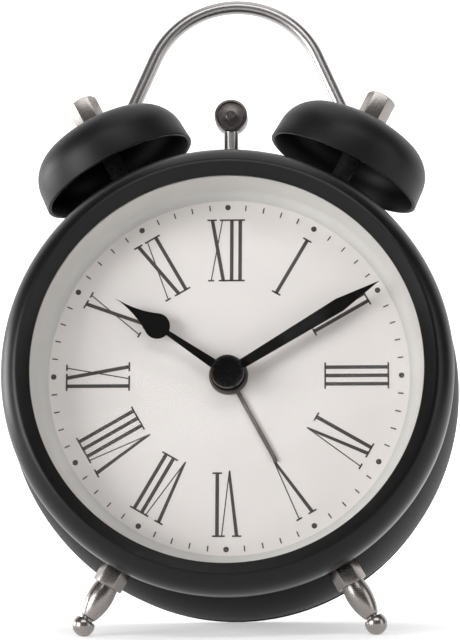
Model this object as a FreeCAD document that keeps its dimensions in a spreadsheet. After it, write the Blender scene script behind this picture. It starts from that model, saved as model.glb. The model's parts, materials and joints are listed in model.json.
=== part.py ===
"""A twin-bell alarm clock, as a parametric FreeCAD document.

Everything is designed in the clock's own upright frame: +X to the viewer's right, +Y back from the dial's front
face, +Z up, with the origin at the dial's centre. Clock angles are measured clockwise from 12. At the end each
piece is leaned back, so that the two ball feet and the rear rim stand on the floor at Z = 0.
"""
import FreeCAD, Part
import Sketcher
import math
import os
import re

Vector = FreeCAD.Vector
Rotation = FreeCAD.Rotation
Placement = FreeCAD.Placement

# Driving dimensions in millimetres and degrees. Names ending in _y are places along the clock's depth.
SIZES = {
    # bezel
    "bezel_r": 57.25, "bezel_y": -8.9, "bezel_t": 1.3, "crest_r": 52.6, "crest_y": -16.1,
    "lip_r": 49.52, "lip_y": -13.2, "lip_t": 0.6, "seam_y": -5.0, "spigot_y": -1.0, "spigot_t": 0.8,
    "spigot_play": 0.05,
    # drum, barrelled along its depth, with a groove and a rolled bead round its rear rim
    "drum_crown_r": 59.35, "drum_crown_y": 25.0, "drum_sweep": 110.0, "drum_t": 1.0,
    "rim_y": 43.4, "rim_bead": 0.9, "rim_step": 0.45,
    "slot_half": 8.4, "slot_depth_half": 2.6,
    # lens, dial ring, dial and the plate behind it
    "seat_r": 51.7, "seat_t": 1.2, "lens_t": 1.6, "seat_play": 0.1,
    "ring_top_r": 49.7, "cove_r": 48.9, "cove_y": -2.2, "cove_bend": 2.6, "ring_tip_r": 46.2, "ring_tip_t": 0.25,
    "dial_t": 0.8, "plate_t": 1.2, "centre_hole_r": 4.2,
    "dial_screw_at": 50.3, "dial_screw_r": 0.8, "dial_screw_head_r": 1.6, "dial_screw_head_t": 1.0,
    "dial_screw_tip_y": -4.0,
    # bells on their posts
    "bell_angle": 27.4, "bell_y": 13.6, "mouth_at": 64.25, "mouth_r": 21.3, "wall_r": 21.0, "wall_h": 4.4,
    "bell_h": 16.2, "shoulder_r": 9.6, "bell_t": 1.0, "post_r": 2.45, "stud_r": 1.5, "stud_play": 0.1,
    "post_inner": 52.5, "bell_nut_half": 3.5, "bell_nut_h": 7.2, "bell_nut_dome": 0.7,
    "small_nut_half": 2.75, "small_nut_h": 2.0, "post_nut_at": 55.0, "foot_nut_at": 53.05,
    # feet
    "foot_angle": 149.8, "foot_y": 2.2, "foot_hex_half": 3.5, "foot_hex_end": 61.6, "foot_leg_r": 3.0,
    "foot_leg_bend": 14.3, "foot_leg_end": 71.0, "foot_ankle_r": 1.85, "foot_neck_r": 1.5, "foot_ball_at": 73.1,
    "foot_ball_r": 2.8, "foot_ball_flat": 1.5, "foot_stud_r": 1.5, "foot_inner": 53.0,
    # carrying handle
    "handle_y": 38.2, "wire_r": 1.85, "arch_r": 24.45, "arch_z": 87.85, "arch_half": 66.5, "root_angle": 36.0,
    "knee_r": 8.0, "root_inner": 53.0, "handle_nut_half": 3.5, "handle_nut_h": 2.8, "handle_nut_in": 53.9,
    "outer_nut_end": 61.2,
    # hands
    "alarm_hand_angle": 151.6, "hour_hand_angle": 304.6, "minute_hand_angle": 58.9,
    "alarm_hub_r": 5.0, "alarm_hub_y": -1.2, "alarm_hub_t": 0.9, "alarm_hand_half": 0.55, "alarm_hand_l": 25.5,
    "hour_hub_r": 4.5, "hour_hub_y": -3.8, "hour_hub_t": 1.6, "hour_stem_half": 1.25, "hour_neck_half": 0.6,
    "spade_z": 22.0, "spade_r": 3.3, "spade_turn": 62.0, "spade_bend": 26.0,
    "hour_hand_l": 35.0, "minute_hub_y": -4.9, "hand_t": 0.5, "minute_root_half": 1.2,
    "minute_wide_half": 1.8, "minute_wide_z": 33.3, "minute_hand_l": 45.1,
    "cap_r": 4.25, "cap_face_r": 3.4, "cap_front_y": -7.4, "cap_edge": 0.9,
    # quartz movement: a two-part housing with a plate between the motion work and the going train
    "house_half_x": 28.0, "house_half_z": 21.0, "house_t": 1.2, "house_split_y": 9.4, "house_back_y": 18.2,
    "mid_plate_y": 9.0, "mid_plate_t": 0.5, "bush_r": 4.0, "bush_bore_r": 2.67, "bush_front_y": 0.1,
    "alarm_tube_r": 2.6, "alarm_bore_r": 1.77, "hour_tube_r": 1.7, "hour_bore_r": 0.97, "arbor_r": 0.9,
    "gear_t": 0.9, "fine_t": 0.8, "alarm_gear_y": 3.6, "hour_gear_y": 5.2, "minute_gear_y": 7.2,
    "centre_gear_y": 10.0, "third_gear_y": 11.4, "second_gear_y": 12.8, "fifth_gear_y": 14.2, "pivot_r": 0.4, "pivot_play": 0.04,
    "motion_module": 0.5, "minute_module": 0.54, "train_module": 0.3, "fine_module": 0.25, "seconds_module": 0.22,
    "minute_at": 125.0, "alarm_set_at": 235.0, "third_at": 60.0, "second_at": 7.0, "fifth_turn": -100.0,
    "rotor_turn": -140.0, "rotor_r": 3.0, "rotor_y": 11.0, "rotor_h": 1.8, "setter_r": 1.2,
    "coil_x": -21.5, "coil_r": 3.0, "coil_core_r": 1.3, "coil_low_z": -6.5, "coil_high_z": 10.5, "coil_y": 13.2,
    "stator_t": 0.6, "board_y": 10.4, "board_t": 1.0,
    # rear cover, battery box, switch and knobs
    "cover_y": 41.8, "cover_t": 1.6, "cover_r": 56.3, "cover_screw_at": 51.0, "cover_screw_r": 1.5,
    "cover_screw_head_r": 2.8, "cover_screw_head_t": 1.5, "cover_screw_tip_y": 38.4,
    "tab_inner": 47.4, "tab_outer": 56.7, "tab_half": 4.0, "tab_t": 1.6,
    "box_half_x": 28.4, "box_low_z": -42.4, "box_high_z": -25.2, "box_y": 25.0, "box_t": 1.2,
    "cell_r": 7.2, "cell_half": 24.6, "cell_z": -33.8, "cell_y": 33.6, "cell_tip_r": 2.7, "cell_tip_l": 1.2,
    "door_play": 0.25, "door_lip": 0.6, "knob_gap": 0.4, "time_knob_r": 6.5, "alarm_knob_r": 5.0, "knob_h": 4.6,
    "knob_ridges": 18, "ridge_r": 0.5, "setter_hole_r": 1.6,
    "switch_x": -34.0, "switch_z": 10.0, "switch_travel": 4.0, "switch_half_x": 2.0, "switch_half_z": 3.0,
    # ringer: a motor turns a crank wheel in front of which the hammer lever swings
    "lever_z": 27.0, "crank_z": 41.0, "crank_throw": 2.8, "crank_gear_y": 16.8, "crank_gear_t": 1.8,
    "crank_pin_r": 0.9, "pin_gap": 0.3, "lever_y": 12.8, "lever_t": 1.6, "lever_half": 4.0, "lever_top_z": 47.0,
    "lever_slot_half": 1.3, "lever_slot_low": 36.6, "lever_slot_high": 45.0, "boss_r": 3.2, "pin_r": 1.0,
    "pin_play": 0.06, "socket_half": 3.0, "socket_top_z": 53.0, "socket_t": 5.0, "hammer_rod_r": 1.88,
    "hammer_z": 72.9, "hammer_r": 4.35, "hammer_l": 5.0, "hammer_edge": 0.35,
    "bracket_y": 19.2, "bracket_t": 1.2, "bracket_left": -15.0, "bracket_right": 24.0, "bracket_low": 22.5,
    "bracket_high": 49.0, "motor_r": 10.2, "motor_l": 13.6, "motor_gear_r": 1.0, "pillar_r": 2.4,
    "pillar_left": -12.0, "pillar_right": 20.0, "pillar_z": 25.6, "pillar_screw_r": 1.0,
}

# Teeth of each gear in the movement and the ringer
TEETH = {
    "alarm": 48, "alarm_pinion": 16, "cannon": 12, "minute": 36, "minute_pinion": 10, "hour": 40,
    "centre": 75, "third_pinion": 10, "third": 80, "second_pinion": 10, "second": 60, "fifth_pinion": 10,
    "fifth": 50, "rotor_pinion": 10, "motor_pinion": 10, "crank": 40,
}
PRESSURE_ANGLE = math.radians(20)
WHEEL_ADDENDUM, WHEEL_DEDENDUM = 0.6, 1.15
PINION_ADDENDUM, PINION_DEDENDUM = 0.9, 0.9
TOOTH_FULLNESS = 0.9
HEX = math.cos(math.radians(30))

doc = FreeCAD.newDocument("twin_bell_clock")
sheet = doc.addObject("Spreadsheet::Sheet", "dims")
for row, (name, number) in enumerate(SIZES.items(), start=1):
    sheet.set(f"A{row}", name)
    sheet.set(f"B{row}", str(number))
    sheet.setAlias(f"B{row}", name)
doc.recompute()
pieces = {}


# ---- sheet formulas, sketches and primitives ----

def link(formula):
    """A formula in the sheet's names as a FreeCAD expression."""
    return re.sub(r"[a-z][a-z0-9_]*", lambda word: f"dims.{word[0]}" if word[0] in SIZES else word[0], str(formula))


def size(formula):
    """The present value of a formula in the sheet's names."""
    return float(sheet.evalExpression(link(formula)))


def bind(thing, **formulas):
    """Ties properties of an object to formulas; a double underscore stands for a dot."""
    for name, formula in formulas.items():
        thing.setExpression(name.replace("__", "."), link(formula))
    return thing


def origin_part(body, role):
    return next(part for part in body.Origin.OriginFeatures if part.Role == role)


def arc_between(start, end, bend):
    """The arc from start to end that turns left when bend, its radius, is positive."""
    half = math.dist(start, end) / 2
    reach = math.sqrt(max(bend * bend - half * half, 0)) * (1 if bend > 0 else -1)
    across = ((start[1] - end[1]) / 2 / half, (end[0] - start[0]) / 2 / half)
    centre = [(a + b) / 2 + side * reach for a, b, side in zip(start, end, across)]
    angles = [math.atan2(y - centre[1], x - centre[0]) for x, y in (start, end)]
    if bend < 0:
        angles.reverse()
    return Part.ArcOfCircle(Part.Circle(Vector(*centre, 0), Vector(0, 0, 1), abs(bend)), *angles)


def draw(sketch, outline):
    """A closed outline. Each corner is (x, y), at the end of a line, or (x, y, bend), at the end of an arc."""
    first = sketch.GeometryCount
    corners = [tuple(size(formula) for formula in corner) for corner in outline]
    ends = []
    for before, corner in zip([corners[-1]] + corners[:-1], corners):
        if len(corner) == 2:
            sketch.addGeometry(Part.LineSegment(Vector(*before[:2], 0), Vector(*corner, 0)), False)
            ends.append((1, 2))
        else:
            sketch.addGeometry(arc_between(before[:2], corner[:2], corner[2]), False)
            ends.append((1, 2) if corner[2] > 0 else (2, 1))
    for number, (corner, formulas) in enumerate(zip(corners, outline)):
        after = (number + 1) % len(corners)
        this, following = first + number, first + after
        sketch.addConstraint(Sketcher.Constraint("Coincident", this, ends[number][1], following, ends[after][0]))
        for kind, place, formula in zip(("DistanceX", "DistanceY"), corner, formulas):
            added = sketch.addConstraint(Sketcher.Constraint(kind, -1, 1, this, ends[number][1], place))
            sketch.setExpression(f"Constraints[{added}]", link(formula))
        if len(corner) == 3:
            added = sketch.addConstraint(Sketcher.Constraint("Radius", this, abs(corner[2])))
            sketch.setExpression(f"Constraints[{added}]", link(f"abs({formulas[2]})"))


def turned(name, outline):
    """A solid of revolution about its own Y axis, from an outline of (radius, place along Y)."""
    body = doc.addObject("PartDesign::Body", name)
    sketch = body.newObject("Sketcher::SketchObject", f"{name}_profile")
    sketch.AttachmentSupport = [(origin_part(body, "XY_Plane"), "")]
    sketch.MapMode = "FlatFace"
    draw(sketch, outline)
    turning = body.newObject("PartDesign::Revolution", f"{name}_turning")
    turning.Profile = sketch
    turning.ReferenceAxis = (origin_part(body, "Y_Axis"), [""])
    turning.Angle = 360
    return body


def plate(name, start_y, thickness, *outlines):
    """A flat piece across the clock, from start_y back, from outlines of (x, z); later outlines are holes."""
    body = doc.addObject("PartDesign::Body", name)
    sketch = body.newObject("Sketcher::SketchObject", f"{name}_outline")
    sketch.AttachmentSupport = [(origin_part(body, "XZ_Plane"), "")]
    sketch.MapMode = "FlatFace"
    bind(sketch, AttachmentOffset__Base__z=f"-({start_y})")
    for outline in outlines:
        draw(sketch, outline)
    pad = body.newObject("PartDesign::Pad", f"{name}_pad")
    pad.Profile = sketch
    pad.Reversed = True
    bind(pad, Length=thickness)
    return body


def primitive(kind, name, turn, at, **sizes):
    """A Part primitive turned by a rotation and standing at a point of formulas."""
    thing = doc.addObject(f"Part::{kind}", name)
    bind(thing, **sizes)
    thing.Placement = Placement(Vector(), turn)
    return bind(thing, Placement__Base__x=at[0], Placement__Base__y=at[1], Placement__Base__z=at[2])


BACKWARDS = Rotation(Vector(1, 0, 0), -90)
LEVEL = Rotation()


def along_y(name, radius, start, end, x="0", z="0", kind="Cylinder"):
    """A cylinder, or a hexagonal prism of that half width, lying along the clock's depth."""
    across = {"Radius": radius} if kind == "Cylinder" else {"Circumradius": f"({radius})/{HEX}"}
    return primitive(kind, name, BACKWARDS, (x, start, z), Height=f"({end})-({start})", **across)


def spoke(name, radius, inner, outer, angle, y, kind="Cylinder"):
    """A cylinder, or a hexagonal prism of that half width, standing radially at a clock angle."""
    across = {"Radius": radius} if kind == "Cylinder" else {"Circumradius": f"({radius})/{HEX}"}
    at = (f"({inner})*sin({angle})", y, f"({inner})*cos({angle})")
    turn = Rotation(Vector(0, 1, 0), size(angle))
    return primitive(kind, name, turn, at, Height=f"({outer})-({inner})", **across)


def block(name, low, high):
    sizes = {key: f"({b})-({a})" for key, a, b in zip(("Length", "Width", "Height"), low, high)}
    return primitive("Box", name, LEVEL, low, **sizes)


def joined(name, *things):
    union = doc.addObject("Part::MultiFuse", name)
    union.Shapes = list(things)
    return union


def cut(name, base, *tools):
    difference = doc.addObject("Part::Cut", name)
    difference.Base = base
    difference.Tool = tools[0] if len(tools) == 1 else joined(f"{name}_tools", *tools)
    return difference


def group(name, *things):
    """Separate solids that share one node, or one primitive that is a whole piece."""
    together = doc.addObject("Part::Compound", name)
    together.Links = list(things)
    return together


def keep(thing, at=None):
    """Makes an object a sub-part of the clock, standing at a placement in the clock's frame."""
    pieces[thing.Name] = (thing, at or Placement())
    return thing


def shaped(name, shape):
    """A sub-part whose shape neither a body nor a primitive fits: a toothed wheel."""
    thing = doc.addObject("Part::Feature", name)
    thing.Shape = shape
    return keep(thing)


def turned_to(angle):
    """The placement that stands a turned piece's own axis at a clock angle."""
    upright = Rotation(Vector(1, 0, 0), 90)
    return Rotation(Vector(0, 1, 0), angle).multiply(upright)


# ---- gears ----

def polar(centre, radius, angle, y=0.0):
    """A point at a radius and a clock angle in radians from a centre (x, z)."""
    return Vector(centre[0] + radius * math.sin(angle), y, centre[1] + radius * math.cos(angle))


def involute(angle):
    return math.tan(angle) - angle


def gear(centre, name, module, start, thickness, towards, tooth_faces, wheel):
    """A spur gear with a tooth, or a gap, facing the clock angle of its partner."""
    teeth = TEETH[name]
    pitch = module * teeth / 2
    base = pitch * math.cos(PRESSURE_ANGLE)
    tip = pitch + module * (WHEEL_ADDENDUM if wheel else PINION_ADDENDUM)
    root = pitch - module * (WHEEL_DEDENDUM if wheel else PINION_DEDENDUM)
    flank_start = max(base, root)
    half_pitch_angle = TOOTH_FULLNESS * math.pi / (2 * teeth)

    def half_angle(radius):
        return half_pitch_angle + involute(PRESSURE_ANGLE) - involute(math.acos(min(base / radius, 1)))

    radii = (flank_start, (flank_start + tip) / 2, tip)
    step = 2 * math.pi / teeth
    edges = []
    last = None
    for number in range(teeth + 1):
        middle = math.radians(towards) + (number + (0 if tooth_faces else 0.5)) * step
        rise = [polar(centre, radius, middle - half_angle(radius), start) for radius in radii]
        fall = [polar(centre, radius, middle + half_angle(radius), start) for radius in reversed(radii)]
        foot = polar(centre, root, middle - half_angle(flank_start), start)
        far_foot = polar(centre, root, middle + half_angle(flank_start), start)
        if last is not None:
            edges.append(Part.Arc(last, polar(centre, root, middle - step / 2, start), foot).toShape())
        if number == teeth:
            break
        if root < base:
            edges.append(Part.LineSegment(foot, rise[0]).toShape())
        edges.append(Part.Arc(*rise).toShape())
        edges.append(Part.Arc(rise[2], polar(centre, tip, middle, start), fall[0]).toShape())
        edges.append(Part.Arc(*fall).toShape())
        if root < base:
            edges.append(Part.LineSegment(fall[2], far_foot).toShape())
        last = far_foot
    return Part.Face(Part.Wire(edges)).extrude(Vector(0, thickness, 0))


def shaft(centre, radius, start, end):
    return Part.makeCylinder(radius, end - start, Vector(centre[0], start, centre[1]), Vector(0, 1, 0))


def offset(centre, distance, angle):
    """The centre (x, z) at a distance and clock angle in degrees from another."""
    point = polar(centre, distance, math.radians(angle))
    return (point.x, point.z)


def centre_distance(one, other, module):
    return module * (TEETH[one] + TEETH[other]) / 2


# ---- case ----

BEZEL_ROUND = "((pow(bezel_r - crest_r; 2) + pow(bezel_y - crest_y; 2))/(2*(bezel_r - crest_r)))"
BEZEL_HOLLOW = f"({BEZEL_ROUND} - bezel_t)"
LENS_Y = "(lip_y + lip_t)"
RING_Y = "(lip_y + lip_t + lens_t)"


def drum_at(y, inset="0"):
    """The radius of the drum's barrelled surface, or of one inside it, at a place along the depth."""
    return (f"(drum_crown_r - drum_sweep + sqrt(pow(drum_sweep - ({inset}); 2)"
            f" - pow({y} - drum_crown_y; 2)))")


RIM_FRONT = "(rim_y - rim_bead)"
RIM_BACK = "(rim_y + rim_bead)"
BEAD_AT = f"({drum_at(RIM_FRONT)} - rim_step)"


def make_bezel():
    hollow_r = "(seat_r + seat_t)"
    hollow_y = f"(bezel_y - sqrt(pow({BEZEL_HOLLOW}; 2) - pow({hollow_r} - bezel_r + {BEZEL_ROUND}; 2)))"
    spigot = f"({drum_at('seam_y', 'drum_t')} - spigot_play)"
    keep(turned("front_bezel", [
        ("lip_r", LENS_Y), ("lip_r", "lip_y"), ("crest_r", "crest_y"), ("bezel_r", "bezel_y", BEZEL_ROUND),
        ("bezel_r", "seam_y - drum_t/2"), (drum_at("seam_y"), "seam_y"), (spigot, "seam_y"), (spigot, "spigot_y"),
        (f"{spigot} - spigot_t", "spigot_y"), (f"{spigot} - spigot_t", "seam_y - drum_t"),
        ("bezel_r - bezel_t", "seam_y - 2*drum_t"), ("bezel_r - bezel_t", "bezel_y"),
        (hollow_r, hollow_y, f"-{BEZEL_HOLLOW}"), (hollow_r, "dial_t"), ("seat_r", "dial_t"), ("seat_r", LENS_Y)]))


def make_drum():
    shell = turned("drum_shell", [
        (drum_at("seam_y", "drum_t"), "seam_y", "-(drum_sweep - drum_t)"), (drum_at("seam_y"), "seam_y"),
        (drum_at(RIM_FRONT), RIM_FRONT, "drum_sweep"), (BEAD_AT, RIM_FRONT),
        (f"{BEAD_AT} + rim_bead", "rim_y", "rim_bead"), (BEAD_AT, RIM_BACK, "rim_bead"),
        (drum_at(RIM_BACK, "drum_t"), RIM_BACK)])
    inner, outer = "drum_crown_r - 7", "drum_crown_r + 2"
    holes = [block("hammer_slot", ("-slot_half", "bell_y - slot_depth_half", inner),
                   ("slot_half", "bell_y + slot_depth_half", outer))]
    for side, sign in (("left", "-"), ("right", "")):
        holes.append(spoke(f"{side}_bell_hole", "stud_r + stud_play", inner, outer, f"{sign}bell_angle", "bell_y"))
        holes.append(spoke(f"{side}_foot_hole", "foot_stud_r + stud_play", inner, outer, f"{sign}foot_angle", "foot_y"))
        holes.append(spoke(f"{side}_handle_hole", "wire_r + stud_play", inner, outer, f"{sign}root_angle", "handle_y"))
    keep(cut("case_drum", shell, *holes))
    return turned("drum_blank", [
        ("0", "seam_y"), (drum_at("seam_y"), "seam_y"), (drum_at(RIM_FRONT), RIM_FRONT, "drum_sweep"), ("0", RIM_FRONT)])


def make_dial_stack():
    radius = "seat_r - seat_play"
    keep(group("lens", along_y("lens_disc", radius, LENS_Y, RING_Y)))
    screws = []
    pilots = []
    plate_holes = []
    dial_holes = []
    for number in range(4):
        angle = math.radians(45 + 90 * number)
        x, z = f"dial_screw_at*{math.sin(angle):.6f}", f"dial_screw_at*{math.cos(angle):.6f}"
        head = along_y(f"dial_screw_head_{number}", "dial_screw_head_r", "dial_t + plate_t",
                       "dial_t + plate_t + dial_screw_head_t", x, z)
        shank = along_y(f"dial_screw_shank_{number}", "dial_screw_r", "dial_screw_tip_y", "dial_t + plate_t", x, z)
        screws.append(joined(f"dial_screw_{number}", head, shank))
        for holes, start, end in ((pilots, "dial_screw_tip_y", "dial_t"), (dial_holes, "-1", "dial_t + 1"),
                                  (plate_holes, "dial_t - 1", "dial_t + plate_t + 1")):
            holes.append(along_y(f"screw_hole_{number}_{len(pilots) + len(dial_holes) + len(plate_holes)}",
                                 "dial_screw_r + spigot_play", start, end, x, z))
    ring = turned("dial_ring_turning", [
        (radius, RING_Y), ("ring_top_r", RING_Y), ("cove_r", "cove_y"), ("ring_tip_r", "-ring_tip_t", "cove_bend"),
        ("ring_tip_r", "0"), (radius, "0")])
    keep(cut("dial_ring", ring, *pilots))
    dial_disc = along_y("dial_disc", radius, "0", "dial_t")
    keep(cut("dial", dial_disc, along_y("dial_centre", "centre_hole_r", "-1", "dial_t + 1"), *dial_holes))
    plate_disc = along_y("plate_disc", "seat_r + seat_t", "dial_t", "dial_t + plate_t")
    plate_centre = along_y("plate_centre", "centre_hole_r", "dial_t - 1", "dial_t + plate_t + 1")
    keep(cut("dial_plate", plate_disc, plate_centre, *plate_holes))
    keep(group("dial_screws", *screws))


def make_foot(side, angle, drum):
    """A hexagon bedded on the drum, a leg that bulges and narrows, and a ball with a flat top."""
    foot = Placement(Vector(0, size("foot_y"), 0), turned_to(size(angle)))
    hexagon = spoke(f"{side}_foot_hex", "foot_hex_half", "drum_crown_r - 4", "foot_hex_end", angle, "foot_y", "Prism")
    bedded = cut(f"{side}_foot_base", hexagon, drum)
    leg = turned(f"{side}_foot_leg", [
        ("0", "foot_hex_end"), ("foot_leg_r", "foot_hex_end"), ("foot_ankle_r", "foot_leg_end", "foot_leg_bend"),
        ("foot_neck_r", "foot_leg_end"), ("foot_neck_r", "foot_ball_at - foot_ball_flat"),
        ("sqrt(pow(foot_ball_r; 2) - pow(foot_ball_flat; 2))", "foot_ball_at - foot_ball_flat"),
        ("foot_ball_r", "foot_ball_at", "foot_ball_r"), ("0", "foot_ball_at + foot_ball_r", "foot_ball_r")])
    leg.Placement = foot
    stud = spoke(f"{side}_foot_stud", "foot_stud_r", "foot_inner", "foot_hex_end", angle, "foot_y")
    keep(joined(f"{side}_foot", bedded, leg, stud))


def nut(name, half, inner, height, hole, angle, y):
    """A plain hexagonal nut standing radially."""
    outer = f"({inner}) + ({height})"
    body = spoke(f"{name}_hex", half, inner, outer, angle, y, "Prism")
    bore = spoke(f"{name}_bore", hole, f"({inner}) - 1", f"{outer} + 1", angle, y)
    return cut(name, body, bore)


def make_case_nuts(drum):
    feet = [nut(f"{side}_foot_nut", "small_nut_half", "foot_nut_at", "small_nut_h", "foot_stud_r + spigot_play",
                f"{sign}foot_angle", "foot_y") for side, sign in (("left", "-"), ("right", ""))]
    keep(group("foot_nuts", *feet))
    posts = [nut(f"{side}_post_nut", "small_nut_half", "post_nut_at", "small_nut_h", "stud_r + spigot_play",
                 f"{sign}bell_angle", "bell_y") for side, sign in (("left", "-"), ("right", ""))]
    keep(group("post_nuts", *posts))
    handle = []
    for side, sign in (("left", "-"), ("right", "")):
        handle.append(nut(f"{side}_inner_handle_nut", "handle_nut_half", "handle_nut_in", "handle_nut_h",
                          "wire_r + spigot_play", f"{sign}root_angle", "handle_y"))
        outer = nut(f"{side}_outer_handle_blank", "handle_nut_half", "drum_crown_r - 2", "outer_nut_end - drum_crown_r + 2",
                    "wire_r + spigot_play", f"{sign}root_angle", "handle_y")
        handle.append(cut(f"{side}_outer_handle_nut", outer, drum))
    keep(group("handle_nuts", *handle))


# ---- bells ----

def make_bell(side, sign, drum):
    """A bell turned about its own axis, which points out from the clock's centre, with its post and nut."""
    rise = "(bell_h - wall_h)"
    reach = "(wall_r - shoulder_r)"
    crown = f"((pow({reach}; 2) + pow({rise}; 2) - pow(shoulder_r; 2))/(2*({rise} - shoulder_r)))"
    inner_crown, inner_shoulder = f"({crown} - bell_t)", "(shoulder_r - bell_t)"
    crown_at = f"(mouth_at + bell_h - {crown})"
    along = f"({reach}/({crown} - shoulder_r))"
    upwards = f"sqrt(1 - pow({along}; 2))"
    top = f"(sqrt(pow({inner_crown}; 2) - pow(stud_r + stud_play; 2)))"
    outer_top = f"(sqrt(pow({crown}; 2) - pow(stud_r + stud_play; 2)))"
    outline = [
        ("mouth_r - bell_t", "mouth_at"), ("mouth_r", "mouth_at"), ("wall_r", "mouth_at + wall_h"),
        (f"{crown}*{along}", f"{crown_at} + {crown}*{upwards}", "shoulder_r"),
        ("stud_r + stud_play", f"{crown_at} + {outer_top}", crown),
        ("stud_r + stud_play", f"{crown_at} + {top}"),
        (f"{inner_crown}*{along}", f"{crown_at} + {inner_crown}*{upwards}", f"-{inner_crown}"),
        ("wall_r - bell_t", "mouth_at + wall_h", f"-{inner_shoulder}")]
    angle = f"{sign}*bell_angle"
    at = Placement(Vector(0, size("bell_y"), 0), turned_to(size(angle)))
    keep(turned(f"{side}_bell", outline), at)

    seat = f"(mouth_at + bell_h - bell_t - {HEX}/10)"
    post_top = "(mouth_at + bell_h + bell_nut_h/2)"
    barrel = turned(f"{side}_post_barrel", [
        ("0", "drum_crown_r - 2"), ("post_r", "drum_crown_r - 2"), ("post_r", seat), ("stud_r", seat),
        ("stud_r", post_top), ("0", post_top)])
    barrel.Placement = at
    stud = spoke(f"{side}_post_stud", "stud_r", "post_inner", "drum_crown_r + 1", angle, "bell_y")
    post = joined(f"{side}_bell_post", cut(f"{side}_post_body", barrel, drum), stud)

    start = "(mouth_at + bell_h + spigot_play)"
    body = spoke(f"{side}_nut_hex", "bell_nut_half", start, f"{start} + bell_nut_h", angle, "bell_y", "Prism")
    shaper = turned(f"{side}_nut_turning", [
        ("0", start), ("bell_nut_half", start), ("bell_nut_half/0.84", f"{start} + bell_nut_dome"),
        ("bell_nut_half/0.84", f"{start} + bell_nut_h - bell_nut_dome"), ("bell_nut_half*0.9", f"{start} + bell_nut_h"),
        ("0", f"{start} + bell_nut_h")])
    shaper.Placement = at
    blank = doc.addObject("Part::MultiCommon", f"{side}_nut_blank")
    blank.Shapes = [body, shaper]
    thread = spoke(f"{side}_nut_thread", "stud_r + spigot_play", f"{start} - 1", f"{post_top} + 0.2", angle, "bell_y")
    return post, cut(f"{side}_bell_nut", blank, thread)


# ---- carrying handle ----

def ring_arc(name, centre, radius, start_angle, sweep):
    """A bend of the handle's rod, in its plane, from one clock angle through a clockwise sweep."""
    turn = Rotation(Vector(0, 1, 0), start_angle + sweep - 90).multiply(Rotation(Vector(1, 0, 0), 90))
    bend = doc.addObject("Part::Torus", name)
    bind(bend, Radius1=radius, Radius2="wire_r")
    bend.Angle3 = sweep
    bend.Placement = Placement(Vector(centre[0], size("handle_y"), centre[1]), turn)
    return bend


def straight_rod(name, start, end):
    run = doc.addObject("Part::Cylinder", name)
    bind(run, Radius="wire_r")
    direction = Vector(end[0] - start[0], 0, end[1] - start[1])
    run.Height = direction.Length
    run.Placement = Placement(Vector(start[0], size("handle_y"), start[1]), Rotation(Vector(0, 0, 1), direction))
    return run


def make_handle():
    """An arch, two legs that spread from it, and a bend in each that turns it square to the drum."""
    arch, half, root = size("arch_r"), math.radians(size("arch_half")), math.radians(size("root_angle"))
    knee = size("knee_r")
    shoulder = (arch * math.sin(half), size("arch_z") + arch * math.cos(half))
    leg = (math.cos(half), -math.sin(half))
    spine = (math.sin(root), math.cos(root))
    reach = ((shoulder[1] * leg[0] - shoulder[0] * leg[1])
             / (spine[1] * leg[0] - spine[0] * leg[1]))
    corner = (reach * spine[0], reach * spine[1])
    turn = math.acos(-(leg[0] * spine[0] + leg[1] * spine[1]))
    tangent = knee * math.tan(turn / 2)
    leg_end = (corner[0] - tangent * leg[0], corner[1] - tangent * leg[1])
    spine_start = (corner[0] - tangent * spine[0], corner[1] - tangent * spine[1])
    knee_centre = (leg_end[0] - knee * math.sin(half), leg_end[1] - knee * math.cos(half))
    root_end = (size("root_inner") * spine[0], size("root_inner") * spine[1])
    runs = [ring_arc("handle_arch", (0, size("arch_z")), "arch_r", -size("arch_half"), 2 * size("arch_half"))]
    for side, sign in (("left", -1), ("right", 1)):
        runs.append(straight_rod(f"{side}_handle_leg", (sign * shoulder[0], shoulder[1]), (sign * leg_end[0], leg_end[1])))
        sweep = math.degrees(turn)
        start = size("arch_half") if sign > 0 else -size("arch_half") - sweep
        runs.append(ring_arc(f"{side}_handle_knee", (sign * knee_centre[0], knee_centre[1]), "knee_r", start, sweep))
        runs.append(straight_rod(f"{side}_handle_root", (sign * spine_start[0], spine_start[1]),
                                 (sign * root_end[0], root_end[1])))
    keep(joined("carry_handle", *runs))


# ---- hands ----

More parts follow.
